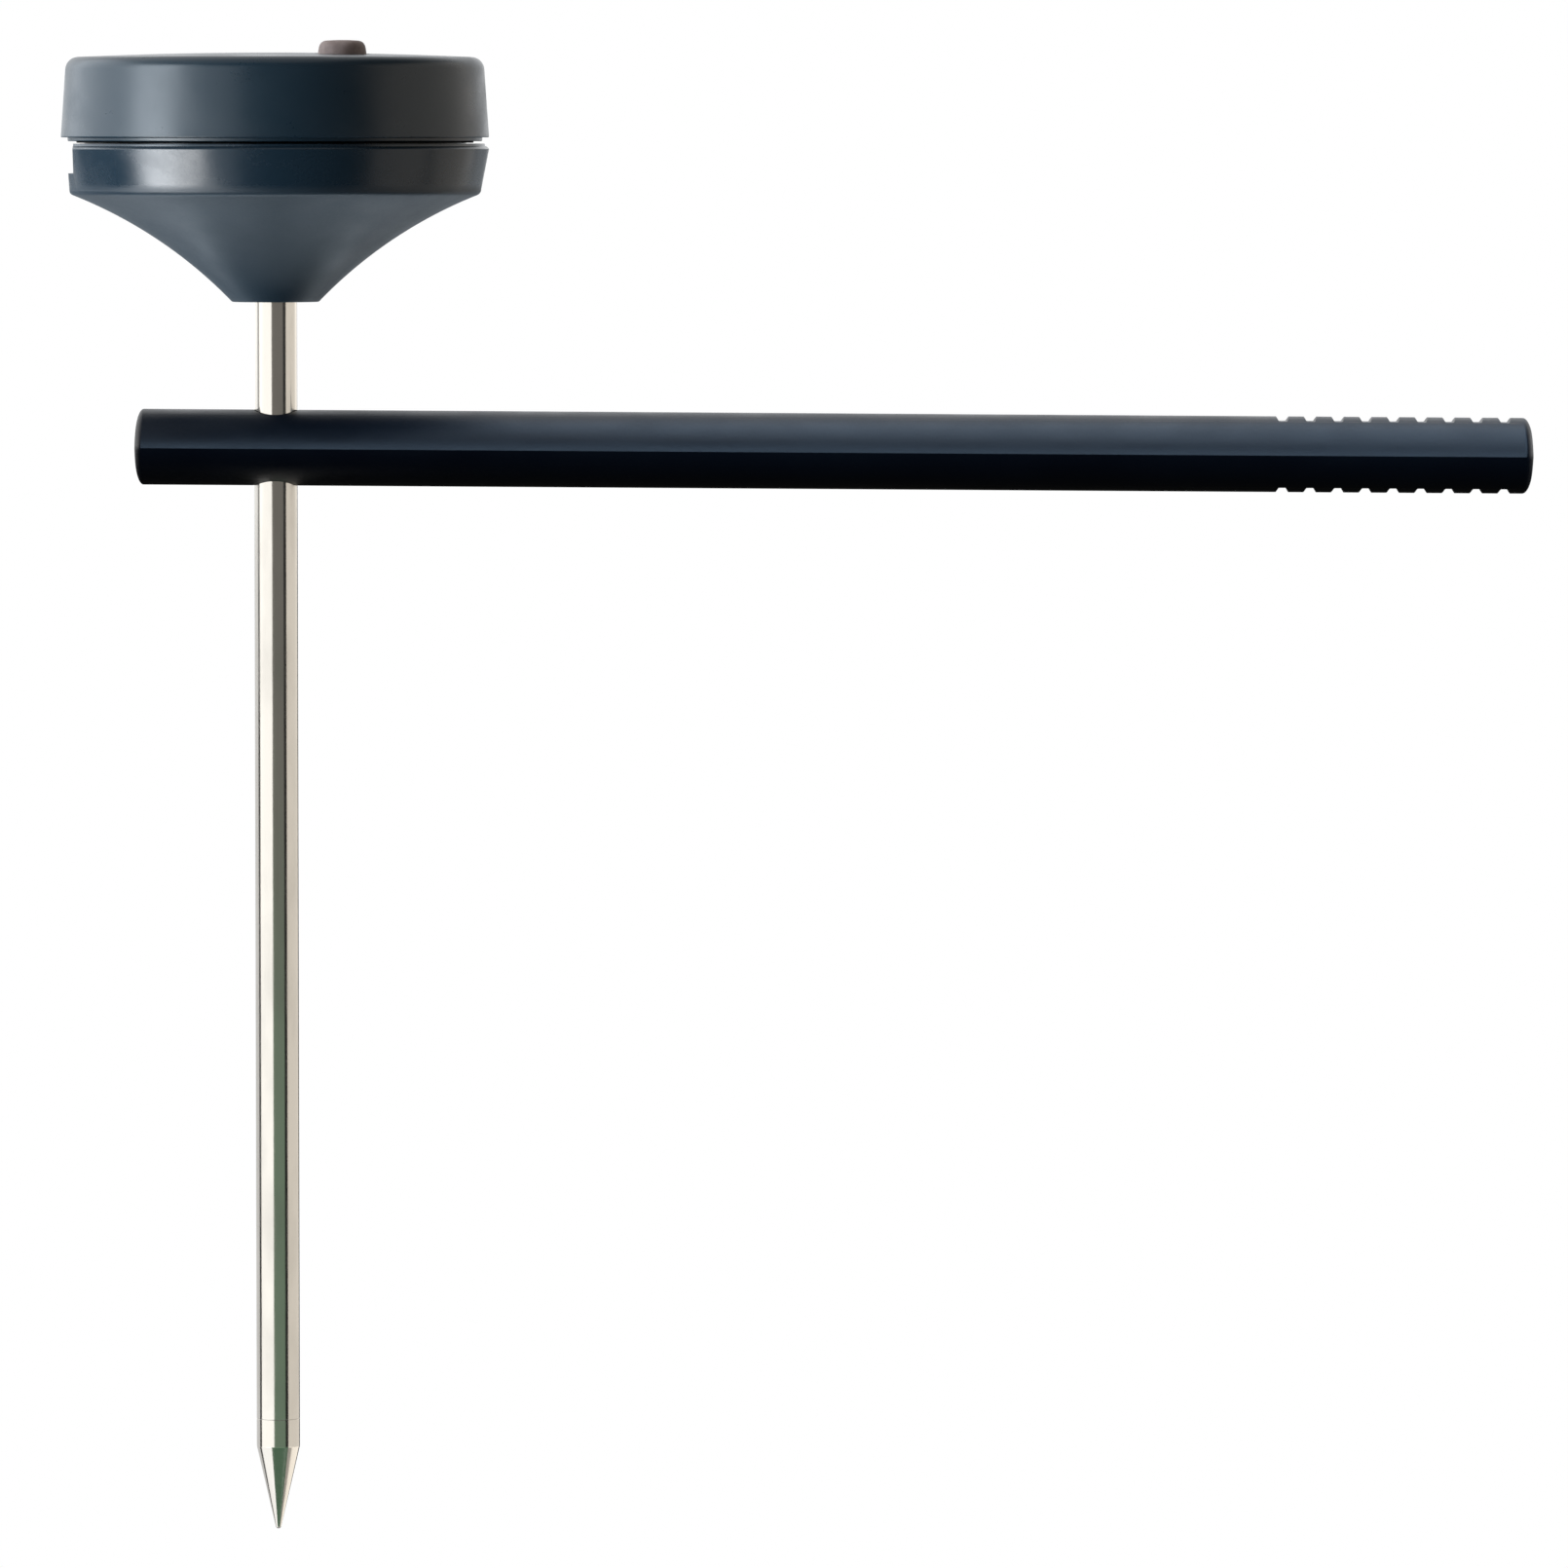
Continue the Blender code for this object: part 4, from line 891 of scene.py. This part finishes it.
def make_tip(steel):
    cone_z, spigot_r, blunt_r = 7.75, 1.3, 0.26
    outline = [(0, TIP_LOW.z)] + fillet((0, blunt_r), blunt_r, -1, -0.14, 6)[1:]
    outline += [(STEM_R, cone_z, 0.5), (STEM_R, TIP_JOINT_Z, 0.03), (spigot_r, TIP_JOINT_Z)]
    outline += [(spigot_r, TIP_HIGH.z), (0, TIP_HIGH.z)]
    tip = new_object("probe_point", turned(soften(outline, 8), ROUND_FACETS))
    place_piece(tip, body_of("probe_tip"), steel, ["probe_tip"])


# Handle sleeve


def sleeve_section(scale, steps=36):
    """The sleeve's lens-shaped section: two shallow arcs that meet in a ridge at the front and back."""
    arch = Arc((-SLEEVE_HALF_DEPTH, 0), (SLEEVE_HALF_DEPTH, 0), SLEEVE_HALF_HEIGHT).points(steps)
    return [(y * scale, z * scale) for y, z in arch[:-1] + [(-y, -z) for y, z in arch[:-1]]]


def end_rings(depth, steps=14):
    """How far in from a rounded end each ring lies, with its scale, outermost first."""
    scales = [sin(i / steps * pi / 2) for i in range(1, steps + 1)]
    return [(depth * (1 - sqrt(1 - min(scale, 1) ** 2.5)), scale) for scale in scales]


def sleeve_shape():
    places = [(SLEEVE_SHORT_END + inset, scale) for inset, scale in end_rings(0.8)]
    places += [(SLEEVE_LONG_END - inset, scale) for inset, scale in reversed(end_rings(1.0))]
    shape = bmesh.new()
    loops = []
    for x, scale in places:
        verts = [shape.verts.new((x, y, z)) for y, z in sleeve_section(scale)]
        loops.append([shape.edges.new(pair) for pair in zip(verts, verts[1:] + verts[:1])])
    for near, far in zip(loops, loops[1:]):
        bmesh.ops.bridge_loops(shape, edges=near + far)
    for end in (loops[0], loops[-1]):
        bmesh.ops.contextual_create(shape, geom=end)
    return shape


def notch_shape(x, side):
    """One grip notch, cut across the sleeve's top or bottom."""
    deep, high = SLEEVE_HALF_HEIGHT - NOTCH_DEPTH, SLEEVE_HALF_HEIGHT + REACH
    slope = (NOTCH_MOUTH - NOTCH_FLOOR) / 2 / NOTCH_DEPTH
    wide = NOTCH_FLOOR / 2 + slope * (high - deep)
    outline = [(x - NOTCH_FLOOR / 2, deep, 0.15), (x + NOTCH_FLOOR / 2, deep, 0.15)]
    outline += [(x + wide, high), (x - wide, high)]
    shape = extruded(soften(outline), -SLEEVE_HALF_DEPTH, SLEEVE_HALF_DEPTH)
    for vert in shape.verts:
        along, height, depth = vert.co
        vert.co = (along, depth, side * height)
    return shape


def storage_bore():
    """The bore that takes the stem when the sleeve is its cover, ending in a cone for the point."""
    far_x = SLEEVE_LONG_END - NECK_Z - GAP
    mouth_r, open_x = STEM_BORE_R + BORE_LEAD_IN, SLEEVE_LONG_END + REACH
    outline = [(0, far_x), (BORE_POINT_R, far_x), (STEM_BORE_R, far_x + BORE_CONE)]
    outline += [(STEM_BORE_R, SLEEVE_LONG_END - 2 * BORE_LEAD_IN), (mouth_r, SLEEVE_LONG_END)]
    outline += [(mouth_r, open_x), (0, open_x)]
    shape = turned(outline, ROUND_FACETS)
    shape.transform(Matrix.Rotation(pi / 2, 4, "Y"))
    return shape


def cross_hole():
    """The hole that the stem passes through, with the groove for the grip ring."""
    hole_r, groove_r = STEM_R + 0.1, GRIP_HIGH.x + GAP
    low, high = GRIP_LOW.z - 0.1, GRIP_HIGH.z + 0.1
    reach = SLEEVE_HALF_HEIGHT + REACH
    outline = [(0, SLEEVE_Z - reach), (hole_r, SLEEVE_Z - reach), (hole_r, low), (groove_r, low)]
    outline += [(groove_r, high), (hole_r, high), (hole_r, SLEEVE_Z + reach), (0, SLEEVE_Z + reach)]
    shape = turned(outline, ROUND_FACETS)
    shape.transform(Matrix.Rotation(pi / ROUND_FACETS, 4, "Z"))  # no corner on the sleeve's own edges
    return shape


def make_sleeve(plastic):
    drooped = Matrix.Translation((0, 0, SLEEVE_Z)) @ Matrix.Rotation(radians(SLEEVE_DROOP), 4, "Y")
    shapes = [sleeve_shape(), storage_bore()]
    for index in range(NOTCHES):
        x = SLEEVE_LONG_END - NOTCH_FROM_END - index * NOTCH_PITCH
        shapes += [notch_shape(x, 1), notch_shape(x, -1)]
    for shape in shapes:
        shape.transform(drooped)
    sleeve = new_object("sleeve_skin", shapes[0])
    combine(sleeve, shapes[1:])
    bevel_edges(sleeve, 0.16, angle=48)
    combine(sleeve, [cross_hole()])
    place_piece(sleeve, body_of("handle_sleeve"), plastic, ["handle_sleeve"])


# Camera, lights and floor

AIM = (CAD_BOX[0] + CAD_BOX[1]) / 2 / MM + Vector((-1.2, 0, 0.3))
CAMERA_BACK = 1070.0
CAMERA_RISE = 61.0
VIEW_WIDTH = 145.05  # how much of the object's plane the picture takes in
FLOOR_Z = -260.0
FLOOR_R = 12000.0
HEAD = Vector((0, 0, (NECK_Z + CROWN_Z) / 2))
WHITE = (1.0, 1.0, 1.0)
STUDIO_BACK = (-0.43, 0.9, 0.0)  # the side the studio's own light comes from


def link(thing):
    bpy.context.scene.collection.objects.link(thing)
    return thing


def make_camera():
    data = bpy.data.cameras.new("camera")
    camera = link(bpy.data.objects.new("camera", data))
    camera.location = (AIM + Vector((0, -CAMERA_BACK, CAMERA_RISE))) * MM
    camera.rotation_mode = "QUATERNION"
    camera.rotation_quaternion = (AIM * MM - camera.location).to_track_quat("-Z", "Y")
    data.lens = data.sensor_width * hypot(CAMERA_BACK, CAMERA_RISE) / VIEW_WIDTH
    data.clip_start, data.clip_end = 0.01, 40
    bpy.context.scene.camera = camera


def compass(azimuth, distance, height=0.0):
    """A point round the head. Azimuth 0 is in front, towards the camera, and 90 on the right."""
    turn_by = radians(azimuth)
    return HEAD + Vector((sin(turn_by) * distance, -cos(turn_by) * distance, height))


def softbox(name, place, target, width, height, radiance, colour=WHITE, only=()):
    """A rectangular light at one point that faces another, which no camera sees.

    Where only names pieces, the light is flagged off everything else.
    """
    data = bpy.data.lights.new(name, "AREA")
    data.shape = "RECTANGLE"
    data.size, data.size_y = width * MM, height * MM
    data.energy = radiance * pi * data.size * data.size_y
    data.color = colour
    light = link(bpy.data.objects.new(name, data))
    light.visible_camera = False
    light.location = place * MM
    light.rotation_mode = "QUATERNION"
    light.rotation_quaternion = (place - target).to_track_quat("Z", "Y")
    if only:
        lit = bpy.data.collections.new(name + "_pieces")
        for piece in only:
            lit.objects.link(bpy.data.objects[piece])
        light.light_linking.receiver_collection = lit


def camera_only(tree, plain, seen):
    """Mixes two node values or colours, so that only the camera's own rays get the second."""
    path = tree.nodes.new("ShaderNodeLightPath")
    share = tree.nodes.new("ShaderNodeMix")
    tree.links.new(path.outputs["Is Camera Ray"], share.inputs[0])
    tree.links.new(plain, share.inputs[2])
    share.inputs[3].default_value = seen
    return share.outputs[0]


def make_world():
    """A white studio behind the object and a dark one in front. The camera itself sees plain white."""
    world = bpy.data.worlds.new("studio")
    bpy.context.scene.world = world
    world.use_nodes = True
    tree = world.node_tree
    place = tree.nodes.new("ShaderNodeTexCoord")
    depth = tree.nodes.new("ShaderNodeMapRange")
    depth.interpolation_type = "SMOOTHSTEP"
    behind = tree.nodes.new("ShaderNodeVectorMath")
    behind.operation = "DOT_PRODUCT"
    behind.inputs[1].default_value = STUDIO_BACK
    tree.links.new(place.outputs["Generated"], behind.inputs[0])
    tree.links.new(behind.outputs["Value"], depth.inputs["Value"])
    for name, value in (("From Min", -0.1), ("From Max", 0.8), ("To Min", 0.05), ("To Max", 0.9)):
        depth.inputs[name].default_value = value
    strength = camera_only(tree, depth.outputs["Result"], 1.0)
    tree.links.new(strength, tree.nodes["Background"].inputs["Strength"])
    tree.nodes["Background"].inputs["Color"].default_value = (*WHITE, 1.0)


def make_floor():
    """Pale paper, lit evenly for the camera, that throws little light back on the object."""
    surface = Surface("floor_paper", base_color=(0.02, 0.02, 0.02), roughness=0.9)
    surface.for_rays("Is Camera Ray", "Emission")
    shape = bmesh.new()
    bmesh.ops.create_circle(shape, cap_ends=True, segments=ROUND_FACETS, radius=FLOOR_R)
    bmesh.ops.translate(shape, verts=shape.verts, vec=(0, 0, FLOOR_Z))
    floor = new_object("floor", shape)
    floor.data.materials.append(surface.material)


def on_axis(height):
    """A point on the stem's axis, by its height over the middle of the head."""
    return HEAD + Vector((0, 0, height))


def make_lights():
    """Softboxes for the head, the steel and the sleeve. Their edges make the bands on the steel."""
    cool, warm, white = (0.88, 0.96, 1.03), (1.0, 0.93, 0.84), (1.0, 0.99, 0.97)
    peach, green, deep_green = (1, 0.93, 0.86), (0.68, 1, 0.7), (0.5, 1, 0.6)
    blue, sky = (0.88, 1.0, 1.10), (0.60, 0.88, 1.22)
    neck = Vector((0, 0, NECK_Z))
    high, mid, low = 137, -363, -NECK_Z - 155  # what the steel's upper part, lower part and tip reflect
    over = {x: Vector((x, 0, SLEEVE_Z)) for x in (20, 60, 160)}
    head_lamps = (
        ("key", compass(-66, 700, 60), HEAD, 330, 700, 7.0, cool),
        ("low_key", compass(-57, 700, -330), HEAD, 480, 380, 10.5, WHITE),
        ("wide_key", compass(-48, 820), HEAD, 980, 1000, 1.1, cool),
        ("left_wall", compass(-112, 600, 190), HEAD, 760, 560, 1.5, cool),
        ("fill", compass(98, 500), HEAD, 860, 760, 0.6, warm),
        ("under", Vector((0, 110, -160)), neck, 380, 260, 2.7, blue),
        ("under_wide", Vector((0, 420, -120)), neck, 1100, 420, 0.4, cool),
        ("back_wall", compass(180, 700, 150), HEAD, 1000, 700, 0.3, cool),
    )
    steel_lamps = (
        ("strip", compass(-57, 820), HEAD, 1280, 1000, 1.5, white),
        ("left_edge", compass(-143, 700, -100), on_axis(-100), 860, 1000, 0.75, WHITE),
        ("right_wall", compass(105, 500), HEAD, 1070, 760, 0.9, warm),
        ("room", compass(11, 600, high), on_axis(high), 720, 500, 0.17, peach),
        ("green_cloth", compass(11, 600, mid), on_axis(mid), 720, 500, 0.25, green),
        ("low_strip", compass(-70, 200, low), on_axis(low), 280, 190, 1.4, WHITE),
        ("low_cloth", compass(12, 200, low), on_axis(low), 430, 190, 0.16, deep_green),
        ("low_wall", compass(105, 200, low), on_axis(low), 400, 190, 0.45, warm),
        ("bounce", Vector((0, 0, FLOOR_Z + 5)), HEAD, 600, 600, 0.5, WHITE),
    )
    sleeve_lamps = (
        ("top", Vector((240, -60, 420)), over[160], 340, 620, 1.6, sky),
        ("sleeve_front", Vector((30, -520, 360)), over[20], 560, 300, 2.9, sky),
        ("sleeve_back", Vector((60, 560, 330)), over[60], 700, 400, 0.35, cool),
    )
    for lamp in head_lamps:
        softbox(*lamp, ("cover_skin", "lower_shell_skin", "rubber_button"))
    for lamp in steel_lamps:
        softbox(*lamp, ("stem_tube_skin", "probe_point"))
    for lamp in sleeve_lamps:
        softbox(*lamp, ("sleeve_skin",))
    softbox("ceiling", Vector((-100, 0, 700)), HEAD, 700, 700, 0.5)


def main():
    make_camera()
    make_world()
    make_floor()
    bpy.context.scene.view_settings.view_transform = "Standard"
    deep, pale = (0.008, 0.020, 0.032), (0.011, 0.025, 0.038)
    cover_plastic = moulded_plastic("cover_plastic", deep, pale, 0.33)
    deep, pale = (0.007, 0.018, 0.030), (0.010, 0.023, 0.036)
    shell_plastic = moulded_plastic("shell_plastic", deep, pale, 0.27, matte_below=CORNER_Z)
    deep, pale = (0.0018, 0.004, 0.009), (0.0035, 0.007, 0.013)
    sleeve_plastic = moulded_plastic("sleeve_plastic", deep, pale, 0.42, grain_depth=0.010)
    taupe = rubber("taupe_rubber", (0.20, 0.145, 0.13), (0.32, 0.25, 0.23))
    black_rubber = rubber("black_rubber", (0.008, 0.009, 0.010), (0.03, 0.031, 0.033))
    tube_steel = drawn_steel("tube_steel", (0.66, 0.64, 0.60), 0.13)
    make_lower_shell(shell_plastic.material)
    make_cover(cover_plastic.material)
    make_button(taupe.material)
    make_window()
    make_seal(black_rubber.material)
    make_stem(tube_steel.material)
    make_tip(tube_steel.material)
    make_sleeve(sleeve_plastic.material)
    make_inside(black_rubber.material)
    make_lights()


main()
